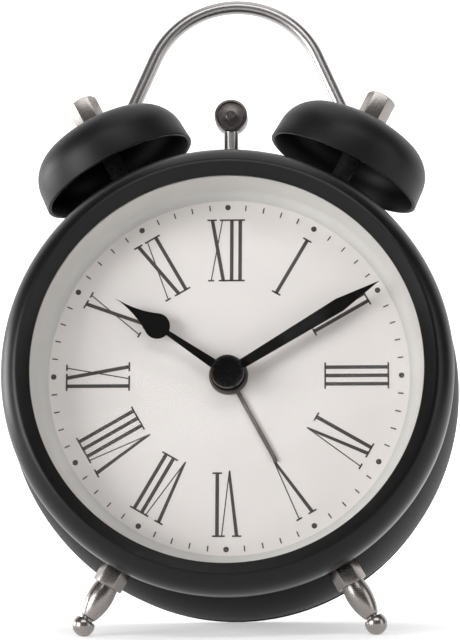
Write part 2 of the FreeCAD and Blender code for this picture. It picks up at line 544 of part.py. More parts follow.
def make_hands():
    def pointing(angle):
        return Placement(Vector(), Rotation(Vector(0, 1, 0), size(angle)))

    def hub(name, radius, start, end, hole):
        disc = along_y(f"{name}_disc", radius, start, end)
        return cut(f"{name}_hub", disc, along_y(f"{name}_bore", hole, f"({start}) - 1", f"({end}) + 1"))

    blade_y = "alarm_hub_y + alarm_hub_t - hand_t"
    blade = plate("alarm_blade", blade_y, "hand_t", [
        ("alarm_hand_half", "alarm_hub_r - 1"), ("alarm_hand_half", "alarm_hand_l - alarm_hand_half"),
        ("0", "alarm_hand_l", "alarm_hand_half"), ("-alarm_hand_half", "alarm_hand_l - alarm_hand_half", "alarm_hand_half"),
        ("-alarm_hand_half", "alarm_hub_r - 1")])
    disc = hub("alarm_hand", "alarm_hub_r", "alarm_hub_y", "alarm_hub_y + alarm_hub_t", "alarm_tube_r")
    keep(joined("alarm_hand", blade, disc), pointing("alarm_hand_angle"))

    waist = "(spade_z - sqrt(pow(spade_r; 2) - pow(hour_neck_half; 2)))"
    flank = ("spade_r*sin(spade_turn)", "spade_z + spade_r*cos(spade_turn)")
    blade = plate("hour_blade", "hour_hub_y", "hand_t", [
        ("hour_stem_half", "hour_hub_r - 1"), ("hour_neck_half", waist), ("spade_r", "spade_z", "spade_r"),
        (*flank, "spade_r"), ("0", "hour_hand_l", "-spade_bend"), (f"-{flank[0]}", flank[1], "-spade_bend"),
        ("-spade_r", "spade_z", "spade_r"), ("-hour_neck_half", waist, "spade_r"), ("-hour_stem_half", "hour_hub_r - 1")])
    disc = hub("hour_hand", "hour_hub_r", "hour_hub_y", "hour_hub_y + hour_hub_t", "hour_tube_r")
    keep(joined("hour_hand", blade, disc), pointing("hour_hand_angle"))

    blade = plate("minute_blade", "minute_hub_y", "hand_t", [
        ("minute_root_half", "cap_r - 1"), ("minute_wide_half", "minute_wide_z"), ("0", "minute_hand_l"),
        ("-minute_wide_half", "minute_wide_z"), ("-minute_root_half", "cap_r - 1")])
    disc = hub("minute_hand", "cap_r - 0.2", "minute_hub_y", "minute_hub_y + hand_t", "arbor_r")
    keep(joined("minute_hand", blade, disc), pointing("minute_hand_angle"))

    keep(turned("hand_cap", [
        ("0", "cap_front_y"), ("cap_face_r", "cap_front_y"), ("cap_r", "cap_front_y + cap_edge", "1.05*cap_edge"),
        ("cap_r", "minute_hub_y"), ("arbor_r", "minute_hub_y"), ("arbor_r", "minute_hub_y - cap_edge"),
        ("0", "minute_hub_y - cap_edge")]))


# ---- movement ----

def make_housing(setters, pivots):
    """The housing and its inner plate, with holes for the setting arbors and the going train's pivots."""
    front, back = "dial_t + plate_t", "house_back_y"

    def shell(name, start, end, hollow_start, hollow_end, more, holes):
        outside = block(f"{name}_block", ("-house_half_x", start, "-house_half_z"), ("house_half_x", end, "house_half_z"))
        inside = block(f"{name}_hollow", ("-house_half_x + house_t", hollow_start, "-house_half_z + house_t"),
                       ("house_half_x - house_t", hollow_end, "house_half_z - house_t"))
        cup = cut(f"{name}_cup", outside, inside)
        keep(cut(name, joined(f"{name}_body", cup, *more) if more else cup, *holes))

    bush = along_y("bush_tube", "bush_r", "bush_front_y", f"{front} + house_t")
    bore = along_y("bush_bore", "bush_bore_r", "bush_front_y - 1", f"{front} + house_t + 1")
    shell("movement_front", front, "house_split_y", f"{front} + house_t", "house_split_y + 1", [bush], [bore])
    holes = [along_y(f"{name}_rear_hole", "setter_r + spigot_play", "house_split_y", f"{back} + 1", f"{c[0]}", f"{c[1]}")
             for name, c in setters.items()]
    holes += [along_y(f"{name}_rear_pivot", "pivot_r + pivot_play", "house_split_y", f"{back} - house_t/2", f"{c[0]}",
                      f"{c[1]}") for name, c in pivots.items()]
    holes.append(along_y("centre_rear_hole", "arbor_r + spigot_play", "house_split_y", f"{back} - house_t/2"))
    shell("movement_rear", "house_split_y", back, "house_split_y - 1", f"{back} - house_t", [], holes)

    margin = "(house_t + seat_play)"
    sheet_block = block("mid_plate_block", (f"-house_half_x + {margin}", "mid_plate_y", f"-house_half_z + {margin}"),
                        (f"house_half_x - {margin}", "mid_plate_y + mid_plate_t", f"house_half_z - {margin}"))
    holes = [along_y(f"{name}_mid_hole", "setter_r + spigot_play", "mid_plate_y - 1", "mid_plate_y + 2", f"{c[0]}",
                     f"{c[1]}") for name, c in setters.items()]
    holes += [along_y(f"{name}_mid_pivot", "pivot_r + pivot_play", "mid_plate_y - 1", "mid_plate_y + 2", f"{c[0]}",
                      f"{c[1]}") for name, c in pivots.items()]
    holes.append(along_y("centre_mid_hole", "arbor_r + spigot_play", "mid_plate_y - 1", "mid_plate_y + 2"))
    keep(cut("movement_plate", sheet_block, *holes))


def make_motion_work(minute, alarm_set):
    """The hands' wheels: a 12 to 1 reduction beside the minute arbor, and the alarm wheel with its setter."""
    centre = (0.0, 0.0)
    module, minute_module, thick = size("motion_module"), size("minute_module"), size("gear_t")
    hour_module = minute_module * (TEETH["cannon"] + TEETH["minute"]) / (TEETH["minute_pinion"] + TEETH["hour"])
    knob_y = size("cover_y + cover_t + knob_gap")
    setter = size("setter_r")
    towards_minute, towards_alarm = size("minute_at"), size("alarm_set_at")

    arbor = shaft(centre, size("arbor_r"), size("minute_hub_y - cap_edge"), size("house_back_y - house_t*0.6"))
    cannon = gear(centre, "cannon", minute_module, size("minute_gear_y"), thick, towards_minute, True, False)
    shaped("minute_arbor", arbor.fuse(cannon))

    setting = shaft(minute, setter, size("hour_gear_y"), knob_y + size("knob_h/2"))
    wheel = gear(minute, "minute", minute_module, size("minute_gear_y"), thick, towards_minute + 180, False, True)
    pinion = gear(minute, "minute_pinion", hour_module, size("hour_gear_y"), thick + 0.6, towards_minute + 180, True,
                  False)
    shaped("minute_wheel", setting.fuse([wheel, pinion]))

    tube = shaft(centre, size("hour_tube_r"), size("hour_hub_y"), size("hour_gear_y") + thick)
    wheel = gear(centre, "hour", hour_module, size("hour_gear_y"), thick, towards_minute, False, True)
    bore = shaft(centre, size("hour_bore_r"), size("hour_hub_y") - 1, size("hour_gear_y") + thick + 1)
    shaped("hour_wheel", tube.fuse(wheel).cut(bore))

    tube = shaft(centre, size("alarm_tube_r"), size("alarm_hub_y"), size("alarm_gear_y") + thick)
    wheel = gear(centre, "alarm", module, size("alarm_gear_y"), thick, towards_alarm, False, True)
    bore = shaft(centre, size("alarm_bore_r"), size("alarm_hub_y") - 1, size("alarm_gear_y") + thick + 1)
    shaped("alarm_wheel", tube.fuse(wheel).cut(bore))

    setting = shaft(alarm_set, setter, size("alarm_gear_y"), knob_y + size("knob_h/2"))
    pinion = gear(alarm_set, "alarm_pinion", module, size("alarm_gear_y"), thick, towards_alarm + 180, True, False)
    shaped("alarm_setting_arbor", setting.fuse(pinion))


def make_going_train(third, second, fifth, rotor):
    """Rotor, fifth, second and third wheels, which drive the centre wheel on the minute arbor."""
    centre = (0.0, 0.0)
    coarse, fine, seconds = size("train_module"), size("fine_module"), size("seconds_module")
    thick, pivot = size("fine_t"), size("pivot_r")
    front = size("mid_plate_y + mid_plate_t*0.2")
    back = size("house_back_y - house_t*0.6")

    def wheel_set(name, place, pinion, pinion_module, pinion_y, pinion_towards, wheel, wheel_module, wheel_y, wheel_towards):
        solids = [gear(place, wheel, wheel_module, wheel_y, thick, wheel_towards, False, True),
                  gear(place, pinion, pinion_module, pinion_y, thick * 1.6, pinion_towards, True, False)]
        shaped(name, shaft(place, pivot, front, back).fuse(solids))

    def heading(start, end):
        return math.degrees(math.atan2(end[0] - start[0], end[1] - start[1]))

    wheel = gear(centre, "centre", coarse, size("centre_gear_y"), thick, heading(centre, third), False, True)
    shaped("centre_wheel", wheel.cut(shaft(centre, size("arbor_r"), front - 1, back)))
    wheel_set("third_wheel", third, "third_pinion", coarse, size("centre_gear_y") - 0.1, heading(third, centre),
              "third", fine, size("third_gear_y"), heading(third, second))
    wheel_set("second_wheel", second, "second_pinion", fine, size("third_gear_y") - 0.1, heading(second, third),
              "second", seconds, size("second_gear_y"), heading(second, fifth))
    wheel_set("fifth_wheel", fifth, "fifth_pinion", seconds, size("second_gear_y") - 0.1, heading(fifth, second),
              "fifth", fine, size("fifth_gear_y"), heading(fifth, rotor))
    magnet = shaft(rotor, size("rotor_r"), size("rotor_y"), size("rotor_y + rotor_h"))
    pinion = gear(rotor, "rotor_pinion", fine, size("fifth_gear_y") - 0.1, thick * 1.6, heading(rotor, fifth), True, False)
    shaped("rotor", shaft(rotor, pivot, front, back).fuse([magnet, pinion]))


def make_drive(rotor):
    """The stepping motor's coil and stator, and the circuit board with its crystal and chip."""
    low, high = "coil_low_z", "coil_high_z"

    def upright(name, radius, start, end):
        return primitive("Cylinder", name, LEVEL, ("coil_x", "coil_y", start), Radius=radius, Height=f"({end})-({start})")

    core = upright("coil_core", "coil_core_r", f"{low} - 3", f"{high} + 3")
    winding = upright("coil_winding", "coil_r", f"{low} + 0.8", f"{high} - 0.8")
    flanges = [upright(f"coil_flange_{n}", "coil_r + 0.5", f"{z}", f"{z} + 0.8") for n, z in enumerate((low, f"{high} - 0.8"))]
    keep(joined("drive_coil", core, winding, *flanges))

    right, inner = f"{rotor[0] + 4.2:.4f}", "-17.6"
    stator_y = "(coil_y - coil_core_r - stator_t)"
    frame = plate("stator_sheet", stator_y, "stator_t", [
        ("coil_x - 2.4", f"{low} - 2.6"), ("-15.3", f"{low} - 2.6"), ("-15.3", f"{rotor[1] - 4.2:.4f}"),
        (right, f"{rotor[1] - 4.2:.4f}"), (right, f"{high} + 2.8"), ("coil_x - 2.4", f"{high} + 2.8"),
        ("coil_x - 2.4", f"{high} + 0.2"), (inner, f"{high} + 0.2"), (inner, f"{low} - 0.2"),
        ("coil_x - 2.4", f"{low} - 0.2")])
    hole = along_y("rotor_window", "rotor_r + 0.4", f"{stator_y} - 1", f"{stator_y} + 2", f"{rotor[0]}", f"{rotor[1]}")
    keep(cut("stator", frame, hole))

    board = block("circuit_board_sheet", ("-9", "board_y", "-house_half_z + 1.6"), ("25.5", "board_y + board_t", "-12.6"))
    keep(group("circuit_board", board))
    crystal = primitive("Cylinder", "crystal_can", Rotation(Vector(0, 1, 0), 90), ("8", "board_y + board_t + 1.05", "-16"),
                        Radius="1", Height="6")
    keep(group("quartz_crystal", crystal))
    chip = primitive("Sphere", "chip_blob", BACKWARDS, ("-2", "board_y + board_t - 3.2", "-16"), Radius="4.4")
    above = block("chip_space", ("-8", "board_y + board_t", "-house_half_z"), ("4", "board_y + board_t + 4", "-10"))
    blob = doc.addObject("Part::MultiCommon", "clock_chip")
    blob.Shapes = [chip, above]
    keep(blob)


# ---- rear cover, battery, knobs and switch ----

COVER_BACK = "(cover_y + cover_t)"
SCREW_ANGLES = (60, 180, 300)


def make_rear_cover(minute, alarm_set):
    disc = along_y("cover_disc", "cover_r", "cover_y", COVER_BACK)
    box = block("battery_box", ("-box_half_x", "box_y", "box_low_z"), ("box_half_x", "cover_y + cover_t/2", "box_high_z"))
    hollow = block("battery_space", ("-box_half_x + box_t", "box_y + box_t", "box_low_z + box_t"),
                   ("box_half_x - box_t", f"{COVER_BACK} + 1", "box_high_z - box_t"))
    frame_y = f"{COVER_BACK} - cover_t*0.75"
    rebate = block("door_rebate", ("-box_half_x", frame_y, "box_low_z"), ("box_half_x", f"{COVER_BACK} + 1", "box_high_z"))
    holes = [along_y(f"{name}_cover_hole", "setter_hole_r", "cover_y - 1", f"{COVER_BACK} + 1", f"{c[0]}", f"{c[1]}")
             for name, c in (("minute", minute), ("alarm_set", alarm_set))]
    holes += [along_y(f"cover_screw_hole_{a}", "cover_screw_r + seat_play", "cover_y - 1", f"{COVER_BACK} + 1",
                      f"cover_screw_at*sin({a})", f"cover_screw_at*cos({a})") for a in SCREW_ANGLES]
    slot = block("switch_slot", ("switch_x - switch_half_x/2 - 0.2", "cover_y - 1", "switch_z - switch_half_z/2 - 0.3"),
                 ("switch_x + switch_half_x/2 + 0.2", f"{COVER_BACK} + 1",
                  "switch_z + switch_half_z/2 + switch_travel + 0.3"))
    keep(cut("rear_cover", joined("cover_body", disc, box), hollow, rebate, slot, *holes))

    play = "door_play"
    door = block("door_sheet", (f"-box_half_x + {play}", f"{frame_y} + 0.05", f"box_low_z + {play}"),
                 (f"box_half_x - {play}", COVER_BACK, f"box_high_z - {play}"))
    grip = block("door_grip", ("-5", f"{COVER_BACK} - door_lip", f"box_high_z - {play} - 4"),
                 ("5", f"{COVER_BACK} + 1", f"box_high_z - {play} - 2.4"))
    keep(cut("battery_door", door, grip))

    tabs = []
    screws = []
    for angle in SCREW_ANGLES:
        sheet_tab = block(f"tab_sheet_{angle}", ("-tab_half", "cover_y - tab_t", "tab_inner"),
                          ("tab_half", "cover_y", "tab_outer"))
        weld = block(f"tab_weld_{angle}", ("-tab_half", "cover_y - 4*tab_t", "tab_outer - tab_t"),
                     ("tab_half", "cover_y", "tab_outer"))
        bore = along_y(f"tab_bore_{angle}", "cover_screw_r + spigot_play", "cover_y - 3", "cover_y + 1", "0", "cover_screw_at")
        tab = cut(f"tab_{angle}", joined(f"tab_bend_{angle}", sheet_tab, weld), bore)
        tab.Placement = Placement(Vector(), Rotation(Vector(0, 1, 0), angle))
        tabs.append(tab)
        at = (f"cover_screw_at*sin({angle})", f"cover_screw_at*cos({angle})")
        head = along_y(f"cover_head_{angle}", "cover_screw_head_r", COVER_BACK, f"{COVER_BACK} + cover_screw_head_t", *at)
        shank = along_y(f"cover_shank_{angle}", "cover_screw_r", "cover_screw_tip_y", COVER_BACK, *at)
        cross = joined(f"cover_cross_{angle}", *cross_bars(angle, at))
        screws.append(cut(f"cover_screw_{angle}", joined(f"cover_blank_{angle}", head, shank), cross))
    keep(group("cover_tabs", *tabs))
    keep(group("cover_screws", *screws))


def cross_bars(angle, at):
    """The two bars of a cross recess, centred on a screw's axis."""
    deep = f"{COVER_BACK} + cover_screw_head_t"
    return [block(f"cross_{angle}_{n}", (f"{at[0]} - {a}", f"{deep} - 0.8", f"{at[1]} - {b}"),
                  (f"{at[0]} + {a}", f"{deep} + 1", f"{at[1]} + {b}")) for n, (a, b) in enumerate(((1.7, 0.3), (0.3, 1.7)))]


def make_battery():
    def along_x(name, radius, start, end):
        return primitive("Cylinder", name, Rotation(Vector(0, 1, 0), 90), (start, "cell_y", "cell_z"),
                         Radius=radius, Height=f"({end})-({start})")

    can = along_x("cell_can", "cell_r", "-cell_half", "cell_half")
    tip = along_x("cell_tip", "cell_tip_r", "cell_half", "cell_half + cell_tip_l")
    keep(joined("battery", can, tip))

    wall = "(box_half_x - box_t)"
    plate_sheet = block("contact_sheet", (f"{wall} - 0.4", "cell_y - 5", "cell_z - 4.5"), (wall, "cell_y + 5", "cell_z + 4.5"))
    keep(group("battery_contact", plate_sheet))
    leaf = block("spring_sheet", (f"-{wall}", "cell_y - 5", "cell_z - 4.5"), (f"-{wall} + 0.4", "cell_y + 5", "cell_z + 4.5"))
    gap = f"({wall} - cell_half - 0.4)"
    helix = doc.addObject("Part::Helix", "spring_line")
    bind(helix, Pitch=f"({gap} - 0.5)/2", Height=f"{gap} - 0.5", Radius="3.4")
    helix.Angle = 8
    helix.Placement = Placement(Vector(size(f"-{wall} + 0.4 + 0.15"), size("cell_y"), size("cell_z")),
                                Rotation(Vector(0, 1, 0), 90))
    doc.recompute()
    start = helix.Shape.Edges[0].valueAt(helix.Shape.Edges[0].FirstParameter)
    heading = helix.Shape.Edges[0].tangentAt(helix.Shape.Edges[0].FirstParameter)
    section = doc.addObject("Part::Circle", "spring_section")
    section.Radius = 0.25
    section.Placement = Placement(start, Rotation(Vector(0, 0, 1), heading))
    coil = doc.addObject("Part::Sweep", "spring_coil")
    coil.Sections = [section]
    coil.Spine = (helix, [])
    coil.Solid = True
    keep(joined("battery_spring", leaf, coil))


def make_knob(name, centre, radius):
    """A knob with ridges round its edge, pressed on a setting arbor."""
    start, end = f"({COVER_BACK} + knob_gap)", f"({COVER_BACK} + knob_gap + knob_h)"
    x, z = f"{centre[0]}", f"{centre[1]}"
    disc = turned(f"{name}_turning", [
        ("setter_r", start), (radius, start), (radius, f"{end} - 0.8"), (f"{radius} - 0.8", end, "0.8"), ("0", end),
        ("0", f"{start} + knob_h/2"), ("setter_r", f"{start} + knob_h/2")])
    disc.Placement = Placement(Vector(size(x), 0, size(z)), Rotation())
    count = int(size("knob_ridges"))
    grooves = [along_y(f"{name}_groove_{n}", "ridge_r", f"{start} - 1", f"{end} + 1",
                       f"{x} + {radius}*sin({360 * n / count})", f"{z} + {radius}*cos({360 * n / count})")
               for n in range(count)]
    keep(cut(name, disc, *grooves))


def make_switch():
    stem = block("switch_stem", ("switch_x - switch_half_x/2", "cover_y - 0.4", "switch_z - switch_half_z/2"),
                 ("switch_x + switch_half_x/2", f"{COVER_BACK} + 2.2", "switch_z + switch_half_z/2"))
    foot = block("switch_foot", ("switch_x - switch_half_x", "cover_y - 1.8", "switch_z - switch_half_z"),
                 ("switch_x + switch_half_x", "cover_y - 0.3", "switch_z + switch_half_z"))
    keep(joined("alarm_switch_slider", stem, foot))
    reach = "(switch_half_z + switch_travel + 1.5)"
    outside = block("switch_case", ("switch_x - switch_half_x - 1.2", "cover_y - 7", "switch_z - switch_half_z - 1.5"),
                    ("switch_x + switch_half_x + 1.2", "cover_y", f"switch_z + {reach}"))
    inside = block("switch_space", ("switch_x - switch_half_x - 0.2", "cover_y - 2.1", "switch_z - switch_half_z - 0.4"),
                   ("switch_x + switch_half_x + 0.2", "cover_y + 1", f"switch_z + {reach} - 1.1"))
    keep(cut("alarm_switch_body", outside, inside))


# ---- ringer ----

def make_ringer():
    lever_back = "(lever_y + lever_t)"
    arm = plate("lever_arm", "lever_y", "lever_t", [
        ("-boss_r", "lever_z"), ("boss_r", "lever_z"), ("lever_half", "lever_slot_low"), ("lever_half", "lever_top_z"),
        ("-lever_half", "lever_top_z"), ("-lever_half", "lever_slot_low")], [
        ("-lever_slot_half", "lever_slot_low"), ("lever_slot_half", "lever_slot_low"),
        ("lever_slot_half", "lever_slot_high"), ("-lever_slot_half", "lever_slot_high")])
    boss = along_y("lever_boss", "boss_r", "lever_y - 1", f"{lever_back} + 1", z="lever_z")
    middle = "(lever_y + lever_t/2)"
    socket = block("rod_socket", ("-socket_half", f"{middle} - socket_t/2", "lever_top_z - 1"),
                   ("socket_half", f"{middle} + socket_t/2", "socket_top_z"))
    bore = along_y("lever_bore", "pin_r + pin_play", "lever_y - 3", f"{lever_back} + 3", z="lever_z")
    rod_hole = primitive("Cylinder", "rod_hole", LEVEL, ("0", middle, "lever_top_z + 0.5"), Radius="hammer_rod_r",
                         Height="socket_top_z - lever_top_z")
    keep(cut("hammer_lever", joined("lever_body", arm, boss, socket), bore, rod_hole))

    rod = primitive("Cylinder", "hammer_rod_bar", LEVEL, ("0", middle, "lever_top_z + 0.5"), Radius="hammer_rod_r",
                    Height="hammer_z - hammer_r*0.9 - lever_top_z - 0.5")
    head = turned("hammer_head_turning", [
        ("0", f"{middle} - hammer_l/2"), ("hammer_r - hammer_edge", f"{middle} - hammer_l/2"),
        ("hammer_r", f"{middle} - hammer_l/2 + hammer_edge"), ("hammer_r", f"{middle} + hammer_l/2 - hammer_edge"),
        ("hammer_r - hammer_edge", f"{middle} + hammer_l/2"), ("0", f"{middle} + hammer_l/2")])
    head.Placement = Placement(Vector(0, 0, size("hammer_z")), Rotation())
    rod_seat = primitive("Cylinder", "rod_seat", LEVEL, ("0", middle, "hammer_z - hammer_r - 1"), Radius="hammer_rod_r",
                         Height="hammer_r*0.1 + 1")
    keep(group("hammer_rod", rod))
    keep(cut("hammer_head", head, rod_seat))

    bracket_back = "(bracket_y + bracket_t)"
    pillars = (("left", "pillar_left"), ("right", "pillar_right"))
    distance = centre_distance("motor_pinion", "crank", size("motion_module"))
    motor = (distance, size("crank_z"))
    outline = [("bracket_left", "bracket_low"), ("bracket_right", "bracket_low"), ("bracket_right", "bracket_high"),
               ("-boss_r - 2", "bracket_high"), ("bracket_left", "lever_z + boss_r + 4")]
    sheet_metal = plate("bracket_sheet", "bracket_y", "bracket_t", outline)
    crank_stud = along_y("crank_stud", "pin_r", "crank_gear_y - 0.8", bracket_back, z="crank_z")
    holes = [along_y(f"{side}_bracket_hole", "pillar_screw_r + seat_play", "bracket_y - 1", f"{bracket_back} + 1", x,
                     "pillar_z") for side, x in pillars]
    holes.append(along_y("motor_hole", "motor_gear_r + 2", "bracket_y - 1", f"{bracket_back} + 1", f"{motor[0]}", "crank_z"))
    holes.append(along_y("pivot_hole", "pin_r", "bracket_y - 1", f"{bracket_back} + 1", z="lever_z"))
    keep(cut("ringer_bracket", joined("bracket_body", sheet_metal, crank_stud), *holes))
    pin = along_y("pivot_pin_bar", "pin_r", "lever_y - 1.6", bracket_back, z="lever_z")
    pin_head = along_y("pivot_pin_head", "pin_r*1.8", "lever_y - 2.2", "lever_y - 1.6", z="lever_z")
    collar = along_y("pivot_collar", "boss_r - 0.8", f"{lever_back} + 1.2", "bracket_y", z="lever_z")
    keep(joined("lever_pivot_pin", pin, pin_head, collar))
    front = "dial_t + plate_t"
    keep(group("ringer_pillars", *[
        cut(f"{side}_pillar", along_y(f"{side}_pillar_bar", "pillar_r", front, "bracket_y", x, "pillar_z"),
            along_y(f"{side}_pillar_bore", "pillar_screw_r + spigot_play", "bracket_y - 8", "bracket_y + 1", x, "pillar_z"))
        for side, x in pillars]))
    keep(group("ringer_screws", *[
        joined(f"{side}_pillar_screw",
               along_y(f"{side}_pillar_shank", "pillar_screw_r", "bracket_y - 6", bracket_back, x, "pillar_z"),
               along_y(f"{side}_pillar_head", "pillar_screw_r*2", bracket_back, f"{bracket_back} + 1.2", x, "pillar_z"))
        for side, x in pillars]))

    can = along_y("motor_can", "motor_r", bracket_back, f"{bracket_back} + motor_l", f"{motor[0]}", "crank_z")
    nose = along_y("motor_nose", "2.9", "bracket_y", bracket_back, f"{motor[0]}", "crank_z")
    end_bell = along_y("motor_end", "3.4", f"{bracket_back} + motor_l", f"{bracket_back} + motor_l + 1.4", f"{motor[0]}",
                       "crank_z")
    bore = along_y("motor_bore", "motor_gear_r + pin_play", "bracket_y - 1", f"{bracket_back} + motor_l", f"{motor[0]}",
                   "crank_z")
    keep(cut("ringer_motor", joined("motor_body", can, nose, end_bell), bore))

    module, start, thick = size("motion_module"), size("crank_gear_y"), size("crank_gear_t")
    axle = shaft(motor, size("motor_gear_r"), start, size(f"{bracket_back} + motor_l - 1"))
    pinion = gear(motor, "motor_pinion", module, start, thick, 270, True, False)
    shaped("motor_pinion", axle.fuse(pinion))
    crank = (0.0, size("crank_z"))
    wheel = gear(crank, "crank", module, start, thick, 90, False, True)
    pin_tip = size(f"{lever_back} + pin_gap")
    throw = (0.0, size("crank_z + crank_throw"))
    wheel = wheel.fuse(shaft(throw, size("crank_pin_r"), pin_tip, start))
    shaped("crank_wheel", wheel.cut(shaft(crank, size("pin_r + pin_play"), start - 1, start + thick + 1)))


# ---- the whole clock ----

def make_clock():
    make_bezel()
    drum = make_drum()
    make_dial_stack()
    for side, sign in (("left", -1), ("right", 1)):
        make_foot(side, f"{sign}*foot_angle", drum)
    posts, nuts = zip(*[make_bell(side, sign, drum) for side, sign in (("left", -1), ("right", 1))])
    keep(group("bell_posts", *posts))
    keep(group("bell_nuts", *nuts))
    make_case_nuts(drum)
    make_handle()
    make_hands()

    minute = offset((0, 0), centre_distance("cannon", "minute", size("minute_module")), size("minute_at"))
    alarm_set = offset((0, 0), centre_distance("alarm", "alarm_pinion", size("motion_module")), size("alarm_set_at"))
    third = offset((0, 0), centre_distance("centre", "third_pinion", size("train_module")), size("third_at"))
    to_second = centre_distance("third", "second_pinion", size("fine_module"))
    second = meeting_point(third, to_second, size("second_at"))
    fifth = offset(second, centre_distance("second", "fifth_pinion", size("seconds_module")), size("fifth_turn"))
    rotor = offset(fifth, centre_distance("fifth", "rotor_pinion", size("fine_module")), size("rotor_turn"))
    make_housing({"minute": minute, "alarm_set": alarm_set},
                 {"third": third, "second": second, "fifth": fifth, "rotor": rotor})
    make_motion_work(minute, alarm_set)
    make_going_train(third, second, fifth, rotor)
    make_drive(rotor)
    make_rear_cover(minute, alarm_set)
    make_battery()
    make_knob("time_knob", minute, "time_knob_r")
    make_knob("alarm_knob", alarm_set, "alarm_knob_r")
    make_switch()
    make_ringer()
    print("minute", minute, "alarm_set", alarm_set, "third", third, "second", second, "fifth", fifth, "rotor", rotor)


def meeting_point(start, distance, angle):
    """The point at a distance from start that lies at a clock angle from the clock's centre, beyond start."""
    heading = math.radians(angle)
    direction = (math.sin(heading), math.cos(heading))
    across = start[0] * direction[0] + start[1] * direction[1]
    reach = across + math.sqrt(across ** 2 - start[0] ** 2 - start[1] ** 2 + distance ** 2)
    return (reach * direction[0], reach * direction[1])


def resting_lean():
    """The angle at which the ball feet and the rolled rear rim touch one floor."""
    drop = size(f"-foot_ball_at*cos(foot_angle) - {BEAD_AT}")
    depth = size("rim_y - foot_y")
    return math.degrees(math.atan2(drop, depth) + math.asin(size("foot_ball_r - rim_bead") / math.hypot(drop, depth)))


def stand():
    """Leans every piece back and puts the floor and the middle of the clock's box at the origin."""
    lean = Placement(Vector(), Rotation(Vector(1, 0, 0), -resting_lean()))
    boxes = []
    for thing, at in pieces.values():
        thing.Placement = lean.multiply(at)
    doc.recompute()
    for thing, _ in pieces.values():
        boxes.append(thing.Shape.optimalBoundingBox(False))
    low_y, high_y = min(box.YMin for box in boxes), max(box.YMax for box in boxes)
    shift = Vector(0, -(low_y + high_y) / 2, -min(box.ZMin for box in boxes))
    for thing, at in pieces.values():
        thing.Placement = Placement(shift, lean.Rotation).multiply(at)
    doc.recompute()
    print("lean", resting_lean(), "shift", tuple(shift))


def check_document():
    failed = [thing.Name for thing in doc.Objects if {"Invalid", "Error"} & set(thing.State)]
    if failed:
        raise RuntimeError(f"objects that did not recompute: {failed}")
    for name, (thing, _) in pieces.items():
        if thing.Shape.isNull() or not thing.Shape.isValid() or not thing.Shape.Solids:
            raise RuntimeError(f"{name} has no valid solid")


make_clock()
stand()
check_document()
os.makedirs("parts", exist_ok=True)
for name, (thing, _) in pieces.items():
    thing.Label = name
    thing.Shape.exportStep(f"parts/{name}.step")
print(len(pieces), "sub-parts")
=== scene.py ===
import json
import math

import bmesh
import bpy
from mathutils import Matrix, Vector

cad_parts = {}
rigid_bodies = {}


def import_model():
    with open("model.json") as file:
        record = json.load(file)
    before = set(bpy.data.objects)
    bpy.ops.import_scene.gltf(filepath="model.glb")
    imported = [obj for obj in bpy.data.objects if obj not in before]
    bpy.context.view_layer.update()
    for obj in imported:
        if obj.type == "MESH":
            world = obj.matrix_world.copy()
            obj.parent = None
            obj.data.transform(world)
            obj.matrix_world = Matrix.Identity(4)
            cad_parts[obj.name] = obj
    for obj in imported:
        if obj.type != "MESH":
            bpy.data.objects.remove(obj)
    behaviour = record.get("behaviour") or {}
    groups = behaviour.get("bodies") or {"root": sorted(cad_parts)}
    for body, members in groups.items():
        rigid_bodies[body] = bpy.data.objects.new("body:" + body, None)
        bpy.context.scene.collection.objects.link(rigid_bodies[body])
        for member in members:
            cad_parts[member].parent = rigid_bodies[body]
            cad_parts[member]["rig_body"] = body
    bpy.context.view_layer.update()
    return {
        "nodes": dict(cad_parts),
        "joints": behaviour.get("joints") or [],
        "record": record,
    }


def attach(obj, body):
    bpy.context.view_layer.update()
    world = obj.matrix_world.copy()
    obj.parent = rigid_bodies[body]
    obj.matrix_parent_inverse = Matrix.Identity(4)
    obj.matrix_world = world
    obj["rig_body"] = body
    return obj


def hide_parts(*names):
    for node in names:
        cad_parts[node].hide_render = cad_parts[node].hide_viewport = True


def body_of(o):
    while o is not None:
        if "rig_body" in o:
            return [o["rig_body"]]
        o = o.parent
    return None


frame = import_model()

# The clock is drawn in millimetres in its own upright frame, with the origin at the dial's centre: X to the
# right, Y back from the dial's face, Z up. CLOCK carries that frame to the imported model's, in metres.
JOINTS = {joint["name"]: joint for joint in frame["joints"]}
DIAL_CENTRE = Vector(JOINTS["minute_spin"]["pos_m"])
BACKWARDS = Vector(JOINTS["minute_spin"]["axis"])
LEAN = math.atan2(BACKWARDS.z, BACKWARDS.y)
MM = 0.001
CLOCK = Matrix.Translation(DIAL_CENTRE) @ Matrix.Rotation(LEAN, 4, "X") @ Matrix.Scale(MM, 4)
CASE = "clock_case"


# ---- materials ----

LEAST_ROUGHNESS = 0.02
GRAIN_DEPTH = 0.00008


def principled(name):
    """A new material, with its nodes, its links and its shader."""
    material = bpy.data.materials.new(name)
    material.use_nodes = True
    nodes = material.node_tree.nodes
    return material, nodes, material.node_tree.links, nodes["Principled BSDF"]


def noise(nodes, links, scale, detail=3.0, stretch=(1, 1, 1)):
    """Noise in the object's own coordinates, in metres."""
    coordinates = nodes.new("ShaderNodeTexCoord")
    mapping = nodes.new("ShaderNodeMapping")
    mapping.inputs["Scale"].default_value = stretch
    texture = nodes.new("ShaderNodeTexNoise")
    texture.inputs["Scale"].default_value = scale
    texture.inputs["Detail"].default_value = detail
    links.new(coordinates.outputs["Object"], mapping.inputs["Vector"])
    links.new(mapping.outputs["Vector"], texture.inputs["Vector"])
    return texture


